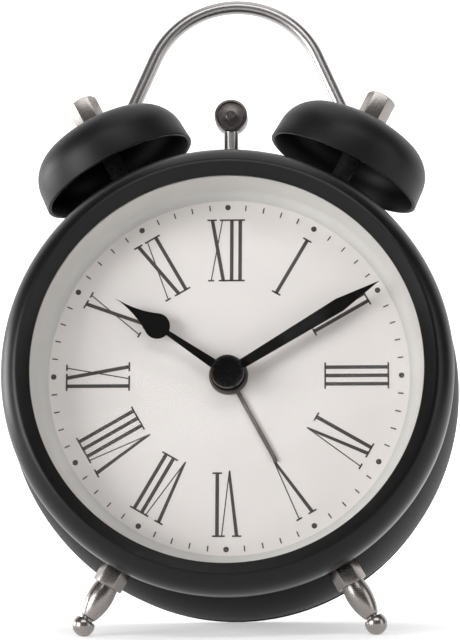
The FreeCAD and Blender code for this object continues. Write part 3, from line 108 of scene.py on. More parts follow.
def ramp(nodes, links, factor, low, high, start=0.3, end=0.7):
    """A blend from the low value to the high one, as the factor goes from start to end."""
    node = nodes.new("ShaderNodeValToRGB")
    node.color_ramp.elements[0].position = start
    node.color_ramp.elements[1].position = end
    node.color_ramp.elements[0].color = low
    node.color_ramp.elements[1].color = high
    links.new(factor, node.inputs["Fac"])
    return node.outputs["Color"]


def finish(name, colour, roughness, metallic=0.0, spread=0.05, rough_spread=0.04, grain=900.0, bump=0.0,
           stretch=(1, 1, 1), specular=0.5):
    """A surface whose colour and roughness vary a little, with an optional fine grain."""
    material, nodes, links, shader = principled(name)
    cloud = noise(nodes, links, grain, 4.0, stretch)
    low = [channel * (1 - spread) for channel in colour] + [1]
    high = [min(channel * (1 + spread), 1) for channel in colour] + [1]
    links.new(ramp(nodes, links, cloud.outputs["Fac"], low, high), shader.inputs["Base Color"])
    grey_low = [max(roughness - rough_spread, LEAST_ROUGHNESS)] * 3 + [1]
    grey_high = [min(roughness + rough_spread, 1)] * 3 + [1]
    links.new(ramp(nodes, links, cloud.outputs["Fac"], grey_low, grey_high), shader.inputs["Roughness"])
    shader.inputs["Metallic"].default_value = metallic
    shader.inputs["Specular IOR Level"].default_value = specular
    if bump:
        relief = nodes.new("ShaderNodeBump")
        relief.inputs["Strength"].default_value = bump
        relief.inputs["Distance"].default_value = GRAIN_DEPTH
        links.new(noise(nodes, links, grain * 3, 2.0, stretch).outputs["Fac"], relief.inputs["Height"])
        links.new(relief.outputs["Normal"], shader.inputs["Normal"])
    return material


def make_lens_glass():
    """Nearly all of the glass is see-through, and its polish is faintly uneven."""
    material, nodes, links, shader = principled("clear_lens")
    cloud = noise(nodes, links, 40.0)
    polish = ramp(nodes, links, cloud.outputs["Fac"], (0.03, 0.03, 0.03, 1), (0.05, 0.05, 0.05, 1))
    links.new(polish, shader.inputs["Roughness"])
    shader.inputs["Base Color"].default_value = (0.01, 0.01, 0.01, 1)
    shader.inputs["Alpha"].default_value = 0.06
    shader.inputs["IOR"].default_value = 1.49
    return material


# Black coats: the bezel's, the duller drum's, the bells' and the posts'.
BLACK_COAT = finish("black_powder_coat", (0.0024, 0.0022, 0.0023), 0.32, spread=0.12, grain=2600, bump=0.06,
                    specular=0.26)
BLACK_DRUM = finish("black_drum_coat", (0.0026, 0.0024, 0.0025), 0.42, spread=0.12, grain=2600, bump=0.06,
                    specular=0.02)
BLACK_BELL = finish("black_bell_coat", (0.0030, 0.0028, 0.0029), 0.44, spread=0.12, grain=2600, bump=0.05,
                    specular=0.26)
BLACK_POST = finish("black_post", (0.06, 0.057, 0.058), 0.30, metallic=0.6, spread=0.08)

# Bare and plated metal.
SATIN_STEEL = finish("satin_steel", (0.30, 0.275, 0.26), 0.27, metallic=1.0, spread=0.04, rough_spread=0.02,
                     grain=1800, bump=0.012, stretch=(1, 1, 6))
ROD_STEEL = finish("rod_steel", (0.36, 0.345, 0.34), 0.30, metallic=1.0, spread=0.03, rough_spread=0.02,
                   grain=1500, bump=0.01)
HEAD_STEEL = finish("hammer_steel", (0.105, 0.095, 0.092), 0.33, metallic=1.0, spread=0.10, rough_spread=0.06,
                    grain=1600, bump=0.06)
BRIGHT = finish("bright_plate", (0.37, 0.33, 0.31), 0.24, metallic=1.0, spread=0.02, rough_spread=0.01,
                grain=300)
ZINC = finish("zinc_plate", (0.48, 0.48, 0.46), 0.36, metallic=1.0, spread=0.10, rough_spread=0.08, grain=500)
BRASS = finish("brass", (0.70, 0.52, 0.24), 0.25, metallic=1.0, spread=0.06)
COPPER = finish("copper_winding", (0.62, 0.30, 0.16), 0.35, metallic=0.9, spread=0.10, rough_spread=0.05,
                grain=3000)

# The dial, its print and the hands.
RING_WHITE = finish("ring_white", (0.66, 0.645, 0.62), 0.62, spread=0.02, grain=300)
DIAL_WHITE = finish("dial_white", (0.84, 0.80, 0.775), 0.75, spread=0.012, grain=120)
INK = finish("dial_ink", (0.060, 0.054, 0.050), 0.6, spread=0.06, grain=700)
HAND_BLACK = finish("hand_black", (0.0022, 0.0017, 0.0015), 0.50, spread=0.08, grain=900, specular=0.10)
CAP_BLACK = finish("cap_black", (0.0014, 0.0012, 0.0012), 0.26, spread=0.08, grain=900, specular=0.25)
ALARM_GREY = finish("alarm_grey", (0.15, 0.125, 0.118), 0.45, metallic=0.3, spread=0.05)
LENS = make_lens_glass()

# Plastics and what is inside and behind.
MOVEMENT_BLACK = finish("movement_black", (0.020, 0.020, 0.021), 0.5, spread=0.10, grain=1500, bump=0.05)
GEAR_WHITE = finish("gear_white", (0.72, 0.71, 0.67), 0.42, spread=0.03)
COVER_BLACK = finish("cover_black", (0.018, 0.018, 0.019), 0.55, spread=0.12, grain=2200, bump=0.14)
KNOB_BLACK = finish("knob_black", (0.015, 0.015, 0.016), 0.33, spread=0.06, grain=900)
SWITCH_GREY = finish("switch_grey", (0.36, 0.36, 0.37), 0.42, spread=0.04)
CELL_WRAP = finish("cell_wrap", (0.03, 0.05, 0.09), 0.25, metallic=0.3, spread=0.06)
BOARD_GREEN = finish("board_green", (0.02, 0.09, 0.04), 0.45, spread=0.08)

SLOTS = {
    "case_black": BLACK_COAT, "bell_black": BLACK_BELL, "post_black": BLACK_POST, "steel": SATIN_STEEL,
    "bright": BRIGHT, "lens": LENS, "ring_white": RING_WHITE, "dial_white": DIAL_WHITE, "zinc": ZINC,
    "hand_black": HAND_BLACK, "alarm_grey": ALARM_GREY, "brass": BRASS, "movement_black": MOVEMENT_BLACK,
    "gear_white": GEAR_WHITE, "cover_black": COVER_BLACK, "knob_black": KNOB_BLACK,
    "switch_grey": SWITCH_GREY, "cell_wrap": CELL_WRAP, "copper": COPPER, "board_green": BOARD_GREEN,
}
NODE_SLOT = {part["node"]: part["material_slot"] for part in frame["record"]["subparts"]}
OWN_FINISH = {"carry_handle": ROD_STEEL, "hammer_head": HEAD_STEEL, "hammer_rod": ROD_STEEL,
              "hand_cap": CAP_BLACK, "case_drum": BLACK_DRUM}


def node_finish(node):
    """A node's own finish if it has one, or else its slot's."""
    return OWN_FINISH.get(node, SLOTS[NODE_SLOT[node]])


# ---- shapes ----

# The least radius that is still a corner's, in millimetres, and the most of an edge that a corner takes.
LEAST_ROUND, EDGE_SHARE = 1e-4, 0.45
ON_AXIS = 1e-6
WELD = 2e-6
BREAK_ANGLE = math.radians(40)


def smooth(mesh, angle=32.0):
    """Smooth shading with edges kept crisp where faces meet at more than an angle."""
    mesh.polygons.foreach_set("use_smooth", [True] * len(mesh.polygons))
    mesh.set_sharp_from_angle(angle=math.radians(angle))


def add_piece(name, mesh, material, body, node=None):
    """Adds a finished mesh as a piece that rides a body, in the place of a node if one is named."""
    mesh.materials.append(material)
    piece = bpy.data.objects.new(name, mesh)
    bpy.context.scene.collection.objects.link(piece)
    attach(piece, body)
    if node:
        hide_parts(node)
    return piece


def place(name, bm, material, body, node=None, at=None, angle=32.0):
    """Makes a piece from a bmesh in clock millimetres, either in the place of a node or new."""
    bm.transform(CLOCK @ (at or Matrix()))
    bmesh.ops.recalc_face_normals(bm, faces=bm.faces)
    mesh = bpy.data.meshes.new(name)
    bm.to_mesh(mesh)
    bm.free()
    smooth(mesh, angle)
    add_piece(name, mesh, material, body, node)


def refined(node, angle=30.0, bevel=0.0):
    """A node's own mesh, welded and smoothly shaded, with its sharp edges broken by bevel millimetres."""
    source = frame["nodes"][node]
    bm = bmesh.new()
    bm.from_mesh(source.data)
    bmesh.ops.remove_doubles(bm, verts=bm.verts, dist=WELD)
    mesh = bpy.data.meshes.new(node + "_piece")
    bm.to_mesh(mesh)
    bm.free()
    smooth(mesh, angle)
    piece = add_piece(node + "_piece", mesh, node_finish(node), body_of(source)[0], node)
    if bevel:
        modifier = piece.modifiers.new("edges", "BEVEL")
        modifier.width = bevel * MM
        modifier.segments = 2
        modifier.limit_method = "ANGLE"
        modifier.angle_limit = BREAK_ANGLE


def arc_points(start, end, bend, steps=10):
    """Points after start and up to end, on an arc of radius bend: left-handed, or right if negative."""
    half = math.dist(start, end) / 2
    reach = math.sqrt(max(bend * bend - half * half, 0)) * (1 if bend > 0 else -1)
    centre = ((start[0] + end[0]) / 2 - (end[1] - start[1]) / 2 / half * reach,
              (start[1] + end[1]) / 2 + (end[0] - start[0]) / 2 / half * reach)
    first = math.atan2(start[1] - centre[1], start[0] - centre[0])
    turn = math.atan2(end[1] - centre[1], end[0] - centre[0]) - first
    turn = turn % math.tau if bend > 0 else turn % math.tau - math.tau
    radius = abs(bend)
    return [(centre[0] + radius * math.cos(a), centre[1] + radius * math.sin(a))
            for a in [first + turn * n / steps for n in range(1, steps + 1)]]


def outline(corners, steps=10):
    """Expands corners (x, y) or (x, y, bend) to a closed list of points."""
    points = []
    last = corners[-1][:2]
    for corner in corners:
        if len(corner) == 2:
            points.append(corner)
        else:
            points.extend(arc_points(last, corner[:2], corner[2], steps))
        last = corner[:2]
    return points


def rounded(points, radius, only=None, steps=3):
    """Rounds the corners of a closed list of points, all or those numbered in only."""
    done = []
    for number, point in enumerate(points):
        here = Vector(point)
        before = Vector(points[number - 1]) - here
        after = Vector(points[(number + 1) % len(points)]) - here
        reach = min(radius, before.length * EDGE_SHARE, after.length * EDGE_SHARE)
        if reach < LEAST_ROUND or (only is not None and number not in only):
            done.append(tuple(point))
            continue
        start = here + before.normalized() * reach
        end = here + after.normalized() * reach
        for step in range(steps + 1):
            t = step / steps
            done.append(tuple(start * (1 - t) ** 2 + here * 2 * t * (1 - t) + end * t ** 2))
    return done


def lathe(points, segments=160):
    """A closed solid of revolution about the Y axis from (radius, place along Y) points."""
    bm = bmesh.new()
    rings = []
    for radius, along in points:
        if radius < ON_AXIS:
            rings.append([bm.verts.new((0, along, 0))])
            continue
        rings.append([bm.verts.new((radius * math.sin(a), along, radius * math.cos(a)))
                      for a in [math.tau * n / segments for n in range(segments)]])
    for one, two in zip(rings, rings[1:] + rings[:1]):
        for n in range(segments):
            m = (n + 1) % segments
            corners = [one[n % len(one)], one[m % len(one)], two[m % len(two)], two[n % len(two)]]
            corners = list(dict.fromkeys(corners))
            if len(corners) > 2:
                bm.faces.new(corners)
    return bm


def tube(path, radius, segments=32):
    """A round rod along a path of points that lie at one depth, with flat ends."""
    bm = bmesh.new()
    rings = []
    across = Vector((0, 1, 0))
    for number, point in enumerate(path):
        ahead = Vector(path[min(number + 1, len(path) - 1)]) - Vector(path[max(number - 1, 0)])
        side = ahead.normalized().cross(across).normalized()
        rings.append([bm.verts.new(Vector(point) + (side * math.cos(a) + across * math.sin(a)) * radius)
                      for a in [math.tau * n / segments for n in range(segments)]])
    for one, two in zip(rings, rings[1:]):
        for n in range(segments):
            m = (n + 1) % segments
            bm.faces.new((one[n], one[m], two[m], two[n]))
    bm.faces.new(rings[0])
    bm.faces.new(list(reversed(rings[-1])))
    return bm


def slab(points, start_y, end_y, edge=0.0):
    """A flat piece from an outline of (x, z), with its front edge rounded over."""
    bm = bmesh.new()
    front = [bm.verts.new((x, start_y, z)) for x, z in points]
    back = [bm.verts.new((x, end_y, z)) for x, z in points]
    face = bm.faces.new(front)
    bm.faces.new(list(reversed(back)))
    for n in range(len(points)):
        m = (n + 1) % len(points)
        bm.faces.new((front[n], back[n], back[m], front[m]))
    if edge:
        bmesh.ops.bevel(bm, geom=list(face.edges), offset=edge, segments=2, profile=0.5, affect="EDGES")
    return bm


def merge(*meshes):
    """One bmesh from several."""
    whole = bmesh.new()
    for part in meshes:
        spare = bpy.data.meshes.new("spare")
        part.to_mesh(spare)
        part.free()
        whole.from_mesh(spare)
        bpy.data.meshes.remove(spare)
    return whole


def pointing(angle):
    """Turns an upright piece to a clock angle."""
    return Matrix.Rotation(math.radians(angle), 4, "Y")


def on_spoke(angle, y=0.0):
    """Stands a turned piece's own axis at a clock angle, at a place in depth."""
    return Matrix.Translation((0, y, 0)) @ pointing(angle) @ Matrix.Rotation(math.radians(90), 4, "X")


# ---- case ----

BEZEL_R, BEZEL_Y, BEZEL_T = 57.25, -8.9, 1.3
CREST_R, CREST_Y = 52.6, -16.1
LIP_R, LIP_Y, LIP_BACK, LIP_ROUND = 49.52, -13.2, -12.6, 0.35
SEAM_Y, SEAT_R, SEAT_OUTER_R, SEAT_BACK = -5.0, 51.7, 52.9, 0.8
SPIGOT_T, SPIGOT_ROOT, SPIGOT_END, SPIGOT_GAP = 0.8, -6.0, -1.0, 0.05
HOLLOW_BACK = -7.0
CROWN_R, CROWN_Y, SWEEP, DRUM_T = 59.35, 25.0, 110.0, 1.0


def drum_at(y, inset=0.0):
    """The radius of the drum's barrelled surface, or of one inside it, at a place along the depth."""
    return CROWN_R - SWEEP + math.sqrt((SWEEP - inset) ** 2 - (y - CROWN_Y) ** 2)


def make_bezel():
    """A funnel up to a crest and a round shoulder down to the seam, with a hollow and a spigot behind."""
    round_r = ((BEZEL_R - CREST_R) ** 2 + (BEZEL_Y - CREST_Y) ** 2) / (2 * (BEZEL_R - CREST_R))
    hollow = round_r - BEZEL_T
    hollow_r = BEZEL_R - BEZEL_T
    shoulder_y = BEZEL_Y - math.sqrt(hollow ** 2 - (SEAT_OUTER_R - BEZEL_R + round_r) ** 2)
    spigot = drum_at(SEAM_Y, DRUM_T) - SPIGOT_GAP
    points = rounded([(LIP_R, LIP_BACK), (LIP_R, LIP_Y), (CREST_R, CREST_Y)], LIP_ROUND, only=(1, 2))[:-1]
    points += arc_points((CREST_R, CREST_Y), (BEZEL_R, BEZEL_Y), round_r, 20)
    points += [(BEZEL_R, SEAM_Y - 0.8), (BEZEL_R - 0.1, SEAM_Y - 0.6), (BEZEL_R - 0.4, SEAM_Y - 0.45)]
    points += [(drum_at(SEAM_Y), SEAM_Y), (spigot, SEAM_Y), (spigot, SPIGOT_END)]
    points += [(spigot - SPIGOT_T, SPIGOT_END), (spigot - SPIGOT_T, SPIGOT_ROOT)]
    points += [(hollow_r, HOLLOW_BACK), (hollow_r, BEZEL_Y)]
    points += arc_points((hollow_r, BEZEL_Y), (SEAT_OUTER_R, shoulder_y), -hollow, 10)
    points += [(SEAT_OUTER_R, SEAT_BACK), (SEAT_R, SEAT_BACK), (SEAT_R, LIP_BACK)]
    place("bezel_ring", lathe(points, 288), BLACK_COAT, CASE, "front_bezel")


RING_OUTER, RING_RIM_R, RING_RIM_Y, RING_FOOT_R, RING_FOOT_Y = 51.6, 49.85, -11.0, 48.9, -2.2
RING_INNER, RING_INNER_Y, RING_CURVE = 46.2, -0.25, 2.6


def make_dial_ring():
    """A white wall that leans inwards and curves down onto the dial."""
    points = [(RING_OUTER, RING_RIM_Y), (RING_RIM_R, RING_RIM_Y), (RING_RIM_R - 0.13, RING_RIM_Y + 0.1)]
    points += [(RING_FOOT_R, RING_FOOT_Y)]
    points += arc_points((RING_FOOT_R, RING_FOOT_Y), (RING_INNER, RING_INNER_Y), RING_CURVE, 14)
    points += [(RING_INNER, 0.0), (RING_OUTER, 0.0)]
    place("dial_ring_piece", lathe(points, 256), RING_WHITE, CASE, "dial_ring", angle=40)


# ---- dial markings ----

# The print stands a little to the left of the case's centre and is turned a little clockwise.
PRINT = Matrix.Translation((-0.43, 0, -0.05)) @ pointing(0.36)
MARK_TOP, MARK_LOW = -0.035, -0.005
TICK_HALF, TICK_INNER, TICK_OUTER, TICK_ROUND = 0.17, 43.75, 45.25, 0.1
DOT_R, DOT_AT, DOT_SIDES = 0.72, 44.5, 24

NUMERALS = ("XII", "I", "II", "III", "IV", "V", "VI", "VII", "VIII", "IX", "X", "XI")
# How far each numeral stands along the dial's circle from its own hour, from XII round to XI.
NUMERAL_SHIFT = (-0.45, 0.0, 0.05, 0.0, 0.35, 0.35, -0.15, -0.35, -0.45, 0.05, -0.25, -0.45)
NUMERAL_TOP, NUMERAL_LOW = 41.35, 24.85
# From one letter's main stroke to the next one's.
LETTER_STEP = {"II": 2.17, "XI": 5.0, "VI": 5.0, "IV": 1.68, "IX": 2.17}
THICK, THIN = 0.93, 0.29
BAR, BAR_HALF, BAR_ROUND, BAR_JOIN = 0.44, 1.25, 0.15, 0.4
# The thick stroke of a V passes the serifs' line by V_DROP and narrows to a blunt point there.
V_DROP, V_THIN_DROP, V_TAPER, V_TIP_OFF, V_TIP_HALF = 0.5, 0.3, 1.3, 0.12, 0.14


def numeral_strokes(text):
    """Strokes as (top x, bottom x, width, bottom drop), and the serif spans along the top and the bottom."""
    strokes, tops, lows = [], [], []
    x, last = 0.0, ""
    for letter in text:
        if last:
            x += LETTER_STEP[last + letter]
        if letter == "I":
            strokes.append((x, x, THICK, 0.0))
            tops.append((x - BAR_HALF, x + BAR_HALF))
            lows.append((x - BAR_HALF, x + BAR_HALF))
        elif letter == "X":
            strokes += [(x - 0.1, x + 2.9, THICK, 0.0), (x + 2.6, x - 0.3, THIN, 0.0)]
            tops += [(x - 1.4, x + 1.1), (x + 1.85, x + 3.5)]
            lows += [(x - 1.1, x + 0.5), (x + 1.65, x + 4.05)]
        else:
            strokes += [(x, x + 1.72, THICK, V_DROP), (x + 3.85, x + 1.95, THIN, V_THIN_DROP)]
            tops += [(x - 1.2, x + 1.2), (x + 3.0, x + 4.65)]
        last = letter
    return strokes, tops, lows


def joined_spans(spans):
    """Serif spans run together where they nearly touch."""
    done = []
    for start, end in sorted(spans):
        if done and start - done[-1][1] < BAR_JOIN:
            done[-1][1] = max(done[-1][1], end)
        else:
            done.append([start, end])
    return done


def mark_slab(points):
    """A thin printed mark from its outline."""
    return slab(points, MARK_TOP, MARK_LOW)


def make_numeral(hour):
    """A numeral centred between its outermost serifs and turned to its hour."""
    strokes, tops, lows = numeral_strokes(NUMERALS[hour])
    parts = []
    for top, low, width, drop in strokes:
        half = width / 2 * math.hypot(1, (top - low) / (NUMERAL_TOP - NUMERAL_LOW))
        foot = NUMERAL_LOW - drop
        head = [(top - half, NUMERAL_TOP), (top + half, NUMERAL_TOP)]
        if drop == V_DROP:
            tip = low + V_TIP_OFF
            parts.append(head + [(low + half, NUMERAL_LOW + V_TAPER), (tip + V_TIP_HALF, foot),
                                 (tip - V_TIP_HALF, foot)])
        else:
            parts.append(head + [(low + half, foot), (low - half, foot)])
    for spans, z in ((tops, NUMERAL_TOP - BAR), (lows, NUMERAL_LOW)):
        for start, end in joined_spans(spans):
            bar = [(start, z), (end, z), (end, z + BAR), (start, z + BAR)]
            parts.append(rounded(bar, BAR_ROUND))
    whole = merge(*[mark_slab(points) for points in parts])
    ends = [x for span in tops + lows for x in span]
    middle = (min(ends) + max(ends)) / 2
    whole.transform(pointing(30 * hour) @ Matrix.Translation((NUMERAL_SHIFT[hour] - middle, 0, 0)))
    return whole


def make_markings():
    """Dots at the hours, ticks at the other minutes, and twelve numerals."""
    tick = rounded([(-TICK_HALF, TICK_INNER), (TICK_HALF, TICK_INNER),
                    (TICK_HALF, TICK_OUTER), (-TICK_HALF, TICK_OUTER)], TICK_ROUND)
    dot = [(DOT_R * math.cos(a), DOT_AT + DOT_R * math.sin(a))
           for a in [math.tau * n / DOT_SIDES for n in range(DOT_SIDES)]]
    marks = []
    for minute in range(60):
        mark = mark_slab(tick if minute % 5 else dot)
        mark.transform(pointing(6 * minute))
        marks.append(mark)
    numerals = [make_numeral(hour) for hour in range(12)]
    place("minute_marks", merge(*marks), INK, CASE, at=PRINT)
    place("numerals", merge(*numerals), INK, CASE, at=PRINT)


# ---- bells ----

BELL_ANGLE, BELL_Y, MOUTH, BELL_HEIGHT = 27.4, 13.6, 64.25, 16.2
MOUTH_R, WALL_R, WALL_H, SHOULDER_R, BELL_T, BELL_HOLE = 21.3, 21.0, 4.4, 9.6, 1.0, 1.6
MOUTH_EASE = 0.25


def bell_profile():
    """A straight wall, a round shoulder and a shallow crown, and the same again inside, from the mouth up."""
    reach = WALL_R - SHOULDER_R
    rise = BELL_HEIGHT - WALL_H
    crown = (reach ** 2 + rise ** 2 - SHOULDER_R ** 2) / (2 * (rise - SHOULDER_R))
    crown_at = MOUTH + BELL_HEIGHT - crown
    inner = crown - BELL_T
    along = reach / (crown - SHOULDER_R)
    upwards = math.sqrt(1 - along ** 2)
    start = (WALL_R, MOUTH + WALL_H)
    shoulder = (crown * along, crown_at + crown * upwards)
    top = (BELL_HOLE, crown_at + math.sqrt(crown ** 2 - BELL_HOLE ** 2))
    under = (BELL_HOLE, crown_at + math.sqrt(inner ** 2 - BELL_HOLE ** 2))
    inner_shoulder = (inner * along, crown_at + inner * upwards)
    inner_start = (WALL_R - BELL_T, MOUTH + WALL_H)
    points = [(MOUTH_R - 0.9, MOUTH + 0.05), (MOUTH_R - 0.7, MOUTH), (MOUTH_R - 0.2, MOUTH)]
    points += [(MOUTH_R - 0.05, MOUTH + 0.06), (MOUTH_R, MOUTH + MOUTH_EASE), start]
    points += arc_points(start, shoulder, SHOULDER_R, 16)
    points += arc_points(shoulder, top, crown, 12)
    points += [under]
    points += arc_points(under, inner_shoulder, -inner, 12)
    points += arc_points(inner_shoulder, inner_start, BELL_T - SHOULDER_R, 16)
    return points + [(MOUTH_R - BELL_T, MOUTH + MOUTH_EASE)]


def make_bells():
    """Two bells on their posts, each under a long nut."""
    for side, sign in (("left", -1), ("right", 1)):
        place(f"{side}_bell_shell", lathe(bell_profile(), 200), BLACK_BELL, CASE, f"{side}_bell",
              at=on_spoke(sign * BELL_ANGLE, BELL_Y), angle=50)
    refined("bell_posts", 35)
    refined("bell_nuts", 35, bevel=0.12)


# ---- feet ----

FOOT_ANGLE, FOOT_Y = 149.8, 2.2
HEX_HALF, HEX_END, HEX_BED, HEX_EASE = 3.5, 61.6, 0.15, 0.18
LEG_R, LEG_COLLAR_R, LEG_BEND, LEG_END, ANKLE_R, NECK_R = 3.0, 3.15, 14.3, 71.0, 1.9, 1.5
BALL_AT, BALL_R, BALL_FLAT = 73.1, 2.8, 1.5
STUD_R, STUD_INNER, STUD_OUTER = 1.5, 53.0, 58.0


def foot_leg():
    """A leg that bulges and narrows to a neck, and a ball with a flat top."""
    flat = math.acos(BALL_FLAT / BALL_R)
    points = [(0, HEX_END - 0.3), (LEG_COLLAR_R, HEX_END - 0.3), (LEG_COLLAR_R, HEX_END)]
    points += [(LEG_R, HEX_END + 0.15)]
    points += arc_points((LEG_R, HEX_END + 0.15), (ANKLE_R, LEG_END - 0.2), LEG_BEND, 14)
    points += [(ANKLE_R - 0.2, LEG_END), (NECK_R, LEG_END), (NECK_R, BALL_AT - BALL_FLAT)]
    points += [(BALL_R * math.sin(a), BALL_AT - BALL_R * math.cos(a))
               for a in [flat + (math.pi - flat) * n / 24 for n in range(24)]]
    points += [(0, BALL_AT + BALL_R)]
    return lathe(points, 64)


def foot_hexagon():
    """A hexagonal block whose inner end follows the drum."""
    corner = HEX_HALF / math.cos(math.pi / 6)
    points = [(corner * math.cos(a), corner * math.sin(a)) for a in [math.tau * n / 6 for n in range(6)]]
    prism = bmesh.new()
    low = [prism.verts.new((x, y, drum_at(FOOT_Y + y) - HEX_BED)) for x, y in points]
    high = [prism.verts.new((x, y, HEX_END)) for x, y in points]
    prism.faces.new(low)
    prism.faces.new(list(reversed(high)))
    for n in range(6):
        m = (n + 1) % 6
        prism.faces.new((low[n], high[n], high[m], low[m]))
    bmesh.ops.bevel(prism, geom=list(prism.edges), offset=HEX_EASE, segments=2, profile=0.5, affect="EDGES")
    return prism


def make_feet():
    """Each foot is a leg with its ball, a hexagon bedded in the drum and a stud into the drum."""
    for side, sign in (("left", -1), ("right", 1)):
        leg = foot_leg()
        leg.transform(on_spoke(sign * FOOT_ANGLE, FOOT_Y))
        prism = foot_hexagon()
        prism.transform(Matrix.Translation((0, FOOT_Y, 0)) @ pointing(sign * FOOT_ANGLE))
        stud = lathe([(0, STUD_INNER), (STUD_R, STUD_INNER), (STUD_R, STUD_OUTER), (0, STUD_OUTER)], 32)
        stud.transform(on_spoke(sign * FOOT_ANGLE, FOOT_Y))
        place(f"{side}_foot_piece", merge(leg, prism, stud), SATIN_STEEL, CASE, f"{side}_foot", angle=40)


# ---- handle ----

ARCH_R, ARCH_Z, ARCH_HALF = 24.45, 87.85, math.radians(66.5)
HANDLE_Y, WIRE_R, KNEE_R = 38.2, 1.85, 8.0
ROOT_ANGLE, ROOT_INNER = math.radians(36), 53.0


def make_handle():
    """A wire arch with straight legs that bend at a knee each and enter the drum square to it."""
    shoulder = Vector((ARCH_R * math.sin(ARCH_HALF), ARCH_Z + ARCH_R * math.cos(ARCH_HALF)))
    leg = Vector((math.cos(ARCH_HALF), -math.sin(ARCH_HALF)))
    spine = Vector((math.sin(ROOT_ANGLE), math.cos(ROOT_ANGLE)))
    reach = (shoulder.y * leg.x - shoulder.x * leg.y) / (spine.y * leg.x - spine.x * leg.y)
    turn = math.acos(-leg.dot(spine))
    leg_end = spine * reach - leg * (KNEE_R * math.tan(turn / 2))
    centre = leg_end - Vector((math.sin(ARCH_HALF), math.cos(ARCH_HALF))) * KNEE_R
    right = [(ARCH_R * math.sin(a), HANDLE_Y, ARCH_Z + ARCH_R * math.cos(a))
             for a in [ARCH_HALF * n / 32 for n in range(33)]]
    right += [(leg_end.x, HANDLE_Y, leg_end.y)]
    right += [(centre.x + KNEE_R * math.sin(a), HANDLE_Y, centre.y + KNEE_R * math.cos(a))
              for a in [ARCH_HALF + turn * n / 16 for n in range(1, 17)]]
    right += [(spine.x * ROOT_INNER, HANDLE_Y, spine.y * ROOT_INNER)]
    left = [(-x, y, z) for x, y, z in reversed(right[1:])]
    place("handle_rod", tube(left + right, WIRE_R, 40), ROD_STEEL, CASE, "carry_handle", angle=60)
    refined("handle_nuts", 35, bevel=0.12)


# ---- hands ----

BLADE_T, BLADE_EASE, BLADE_ROOT = 0.5, 0.08, 3.5
MINUTE_TURN, MINUTE_FRONT, MINUTE_L, MINUTE_HUB_R = 58.9, -4.9, 45.1, 4.05
MINUTE_HALF, MINUTE_WIDE_HALF, MINUTE_WIDE_AT, MINUTE_HOLE = 1.2, 1.8, 33.3, 0.9
HOUR_TURN, HOUR_FRONT, HOUR_BACK, HOUR_L, HOUR_HUB_R, HOUR_HOLE = 304.6, -3.8, -2.2, 35.0, 4.5, 1.7
HOUR_HALF, HOUR_NECK_HALF = 1.25, 0.6
SPADE_R, SPADE_Z, SPADE_TURN, SPADE_BEND = 3.3, 22.0, math.radians(62), 26.0
ALARM_TURN, ALARM_FRONT, ALARM_HUB_FRONT, ALARM_HUB_R, ALARM_HOLE = 151.6, -0.8, -1.2, 5.0, 2.6
ALARM_HALF, ALARM_TIP_AT, ALARM_ROOT = 0.55, 24.95, 4.0


def make_minute_hand():
    """A blade that widens for about three quarters of its length and then tapers to a point."""
    points = [(-MINUTE_HALF, BLADE_ROOT), (-MINUTE_WIDE_HALF, MINUTE_WIDE_AT), (0, MINUTE_L),
              (MINUTE_WIDE_HALF, MINUTE_WIDE_AT), (MINUTE_HALF, BLADE_ROOT)]
    back = MINUTE_FRONT + BLADE_T
    blade = slab(points, MINUTE_FRONT, back, BLADE_EASE)
    disc = lathe([(MINUTE_HOLE, MINUTE_FRONT), (MINUTE_HUB_R, MINUTE_FRONT), (MINUTE_HUB_R, back),
                  (MINUTE_HOLE, back)], 64)
    place("minute_blade", merge(blade, disc), HAND_BLACK, "minute_work", "minute_hand",
          at=pointing(MINUTE_TURN))


def make_hour_hand():
    """A narrow stem into a round spade, whose flanks curve in to the tip."""
    waist = SPADE_Z - math.sqrt(SPADE_R ** 2 - HOUR_NECK_HALF ** 2)
    flank_x = SPADE_R * math.sin(SPADE_TURN)
    flank_z = SPADE_Z + SPADE_R * math.cos(SPADE_TURN)
    points = outline([(HOUR_HALF, BLADE_ROOT), (HOUR_NECK_HALF, waist), (SPADE_R, SPADE_Z, SPADE_R),
                      (flank_x, flank_z, SPADE_R), (0, HOUR_L, -SPADE_BEND), (-flank_x, flank_z, -SPADE_BEND),
                      (-SPADE_R, SPADE_Z, SPADE_R), (-HOUR_NECK_HALF, waist, SPADE_R),
                      (-HOUR_HALF, BLADE_ROOT)], 12)
    blade = slab(points, HOUR_FRONT, HOUR_FRONT + BLADE_T, BLADE_EASE)
    hub = lathe(rounded([(HOUR_HOLE, HOUR_FRONT), (HOUR_HUB_R, HOUR_FRONT), (HOUR_HUB_R, HOUR_BACK),
                         (HOUR_HOLE, HOUR_BACK)], 0.2, only=(1,)), 64)
    place("hour_blade", merge(blade, hub), HAND_BLACK, "hour_work", "hour_hand", at=pointing(HOUR_TURN))


def make_alarm_hand():
    """A thin strip with a round end, low over the dial."""
    back = ALARM_FRONT + BLADE_T
    tip = [(ALARM_HALF * math.cos(a), ALARM_TIP_AT + ALARM_HALF * math.sin(a))
           for a in [math.pi * n / 10 for n in range(11)]]
    points = [(ALARM_HALF, ALARM_ROOT)] + tip + [(-ALARM_HALF, ALARM_ROOT)]
    blade = slab(points, ALARM_FRONT, back, BLADE_EASE)
    disc = lathe([(ALARM_HOLE, ALARM_HUB_FRONT), (ALARM_HUB_R, ALARM_HUB_FRONT), (ALARM_HUB_R, back),
                  (ALARM_HOLE, back)], 64)
    place("alarm_blade", merge(blade, disc), ALARM_GREY, "alarm_work", "alarm_hand", at=pointing(ALARM_TURN))


CAP_R, CAP_FRONT, CAP_BACK, CAP_INNER_R = 4.25, -7.4, -5.8, 0.9


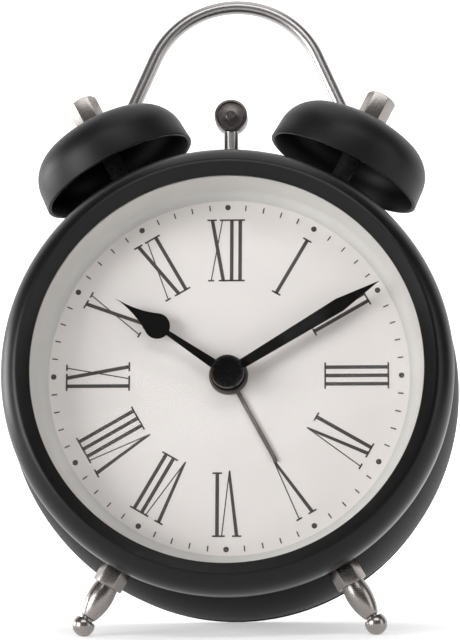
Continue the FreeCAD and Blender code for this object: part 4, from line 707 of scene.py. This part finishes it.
def make_hand_cap():
    """A cap with a flat face, a faint raised line round it and a rolled edge, with a recess for the arbor."""
    points = [(0, CAP_FRONT + 0.02), (CAP_R - 1.05, CAP_FRONT + 0.02), (CAP_R - 0.89, CAP_FRONT)]
    points += [(CAP_R - 0.75, CAP_FRONT + 0.03), (CAP_R - 0.3, CAP_FRONT + 0.4)]
    points += [(CAP_R - 0.08, CAP_FRONT + 0.7), (CAP_R, CAP_FRONT + 1.1), (CAP_R, MINUTE_FRONT)]
    points += [(CAP_INNER_R, MINUTE_FRONT), (CAP_INNER_R, CAP_BACK), (0, CAP_BACK)]
    place("centre_cap", lathe(points, 96), CAP_BLACK, "minute_work", "hand_cap", angle=24)


# ---- hammer ----

HAMMER_Y, HAMMER_Z, HAMMER_R, HEAD_FRONT, HEAD_BACK = 13.6, 72.9, 4.35, 11.1, 16.1
HAMMER_ROD_R, HAMMER_ROD_FOOT, HAMMER_ROD_MIDDLE = 1.88, 47.5, 60.0


def make_hammer():
    """A thick disc with a turned rim and a ring-marked face, on a round rod."""
    points = [(0, HEAD_FRONT + 0.15), (1.0, HEAD_FRONT + 0.15), (1.1, HEAD_FRONT + 0.3)]
    points += [(1.3, HEAD_FRONT + 0.4), (3.4, HEAD_FRONT + 0.4), (3.55, HEAD_FRONT + 0.3)]
    points += [(3.7, HEAD_FRONT), (4.0, HEAD_FRONT), (4.25, HEAD_FRONT + 0.1), (HAMMER_R, HEAD_FRONT + 0.35)]
    points += [(HAMMER_R, HEAD_BACK - 0.35), (4.25, HEAD_BACK - 0.1), (4.0, HEAD_BACK), (0, HEAD_BACK)]
    place("hammer_head_piece", lathe(points, 96), HEAD_STEEL, "hammer", "hammer_head",
          at=Matrix.Translation((0, 0, HAMMER_Z)))
    path = [(0, HAMMER_Y, z) for z in (HAMMER_ROD_FOOT, HAMMER_ROD_MIDDLE, HAMMER_Z - 0.9 * HAMMER_R)]
    place("hammer_rod_piece", tube(path, HAMMER_ROD_R, 40), ROD_STEEL, "hammer", "hammer_rod")


# ---- stage ----

# The floor, the sweep and the wall behind, in metres. Each painted glow, which stands in for the lamps' light
# on the sweep, adds its gain from one depth to another.
FLOOR_HALF, FLOOR_FRONT, SWEEP_START, SWEEP_R, WALL_TOP = 7.0, -6.0, 1.6, 1.6, 7.0
PAINTED_GLOWS = ((-0.22, 0.0, 0.45), (0.0, 0.4, 0.5))


def make_floor_painted_glow():
    """Mat white with a painted glow in place of light on the studio sweep: none at the front, about half near
    the clock, where it also lightens the clock's shadow, and full towards the back.
    """
    material = finish("pale_floor", (0.90, 0.90, 0.90), 0.8, spread=0.004, grain=3.0, specular=0.1)
    nodes, links = material.node_tree.nodes, material.node_tree.links
    shader = nodes["Principled BSDF"]
    position = nodes.new("ShaderNodeTexCoord")
    split = nodes.new("ShaderNodeSeparateXYZ")
    links.new(position.outputs["Object"], split.inputs["Vector"])
    total = nodes.new("ShaderNodeMath")
    for n, (start, end, gain) in enumerate(PAINTED_GLOWS):
        depth = nodes.new("ShaderNodeMapRange")
        links.new(split.outputs["Y"], depth.inputs["Value"])
        for name, value in (("From Min", start), ("From Max", end), ("To Min", 0.0), ("To Max", gain)):
            depth.inputs[name].default_value = value
        links.new(depth.outputs["Result"], total.inputs[n])
    # The emission is painted light: a glow, graded by depth, in place of the lamps' light on the sweep.
    shader.inputs["Emission Color"].default_value = (1, 1, 1, 1)
    links.new(total.outputs["Value"], shader.inputs["Emission Strength"])
    return material


def make_stage():
    """A pale floor that sweeps up behind into a pale wall."""
    bm = bmesh.new()
    profile = [(FLOOR_FRONT, 0.0), (SWEEP_START, 0.0)]
    profile += [(SWEEP_START + SWEEP_R * math.sin(a), SWEEP_R - SWEEP_R * math.cos(a))
                for a in [math.pi / 2 * n / 24 for n in range(1, 25)]]
    profile += [(SWEEP_START + SWEEP_R, WALL_TOP)]
    rows = [[bm.verts.new((x, y, z)) for y, z in profile] for x in (-FLOOR_HALF, FLOOR_HALF)]
    for n in range(len(profile) - 1):
        bm.faces.new((rows[0][n], rows[1][n], rows[1][n + 1], rows[0][n + 1]))
    mesh = bpy.data.meshes.new("studio_floor")
    bm.to_mesh(mesh)
    bm.free()
    smooth(mesh, 60)
    mesh.materials.append(make_floor_painted_glow())
    floor = bpy.data.objects.new("studio_floor", mesh)
    bpy.context.scene.collection.objects.link(floor)


LIT_PLACE = (0, 0, 0.08)
SKY_STRENGTH = 0.11


def area_light(name, at, size, power):
    """A soft rectangular light, at a place in metres and turned to the clock."""
    data = bpy.data.lights.new(name, "AREA")
    data.shape = "RECTANGLE"
    data.size, data.size_y = size
    data.energy = power
    light = bpy.data.objects.new(name, data)
    light.location = at
    light.rotation_euler = (Vector(LIT_PLACE) - Vector(at)).to_track_quat("-Z", "Y").to_euler()
    bpy.context.scene.collection.objects.link(light)


def make_lights():
    """A key and a rim light at the left, a fill at the right, soft light in front and above, a dim sky."""
    area_light("key_left", (-0.95, -0.75, 0.22), (0.7, 0.7), 13.0)
    area_light("rim_left", (-0.9, 0.25, 0.08), (0.5, 0.5), 6.0)
    area_light("fill_right", (1.0, -0.5, 0.35), (0.5, 0.9), 2.7)
    area_light("front_soft", (0.1, -1.1, 1.35), (1.3, 0.6), 9.4)
    area_light("top_soft", (0, 0.1, 1.4), (0.9, 0.9), 3.8)
    world = bpy.data.worlds.new("studio_sky")
    bpy.context.scene.world = world
    world.use_nodes = True
    world.node_tree.nodes["Background"].inputs["Color"].default_value = (1, 1, 1, 1)
    world.node_tree.nodes["Background"].inputs["Strength"].default_value = SKY_STRENGTH


# The camera's place and turns in the clock's own frame, and its lens, in millimetres and degrees.
CAMERA_AT = Vector((35.74, -650.6, -129.6))
CAMERA_PITCH, CAMERA_YAW, CAMERA_ROLL = 12.481, -3.114, -0.055
SENSOR, FOCAL_LENGTH = 36.0, 146.25
FARTHEST = 50.0


def make_camera():
    """The viewer stands below the dial's middle and looks slightly up and to the left."""
    pitch, yaw, roll = (math.radians(angle) for angle in (CAMERA_PITCH, CAMERA_YAW, CAMERA_ROLL))
    forward = Vector((math.sin(yaw) * math.cos(pitch), math.cos(yaw) * math.cos(pitch), math.sin(pitch)))
    right = Vector((math.cos(yaw), -math.sin(yaw), 0))
    up = right.cross(forward)
    tilted_right = right * math.cos(roll) + up * math.sin(roll)
    tilted_up = up * math.cos(roll) - right * math.sin(roll)
    turn = Matrix((tilted_right, tilted_up, -forward)).transposed().to_4x4()
    data = bpy.data.cameras.new("camera")
    data.sensor_width = SENSOR
    data.lens = FOCAL_LENGTH
    data.clip_end = FARTHEST
    camera = bpy.data.objects.new("camera", data)
    camera.matrix_world = Matrix.Translation(CLOCK @ CAMERA_AT) @ Matrix.Rotation(LEAN, 4, "X") @ turn
    bpy.context.scene.collection.objects.link(camera)
    bpy.context.scene.camera = camera


# ---- the whole scene ----

SMOOTHED = ("rear_cover", "cover_screws", "battery_door", "time_knob", "alarm_knob", "alarm_switch_slider",
            "lens")

for node_name, node_object in frame["nodes"].items():
    node_object.data.materials.clear()
    node_object.data.materials.append(node_finish(node_name))

make_bezel()
refined("case_drum", 28)
make_dial_ring()
make_markings()
make_bells()
make_feet()
make_handle()
make_minute_hand()
make_hour_hand()
make_alarm_hand()
make_hand_cap()
make_hammer()
for smoothed in SMOOTHED:
    refined(smoothed)
make_stage()
make_lights()
make_camera()
bpy.context.scene.view_settings.view_transform = "Standard"
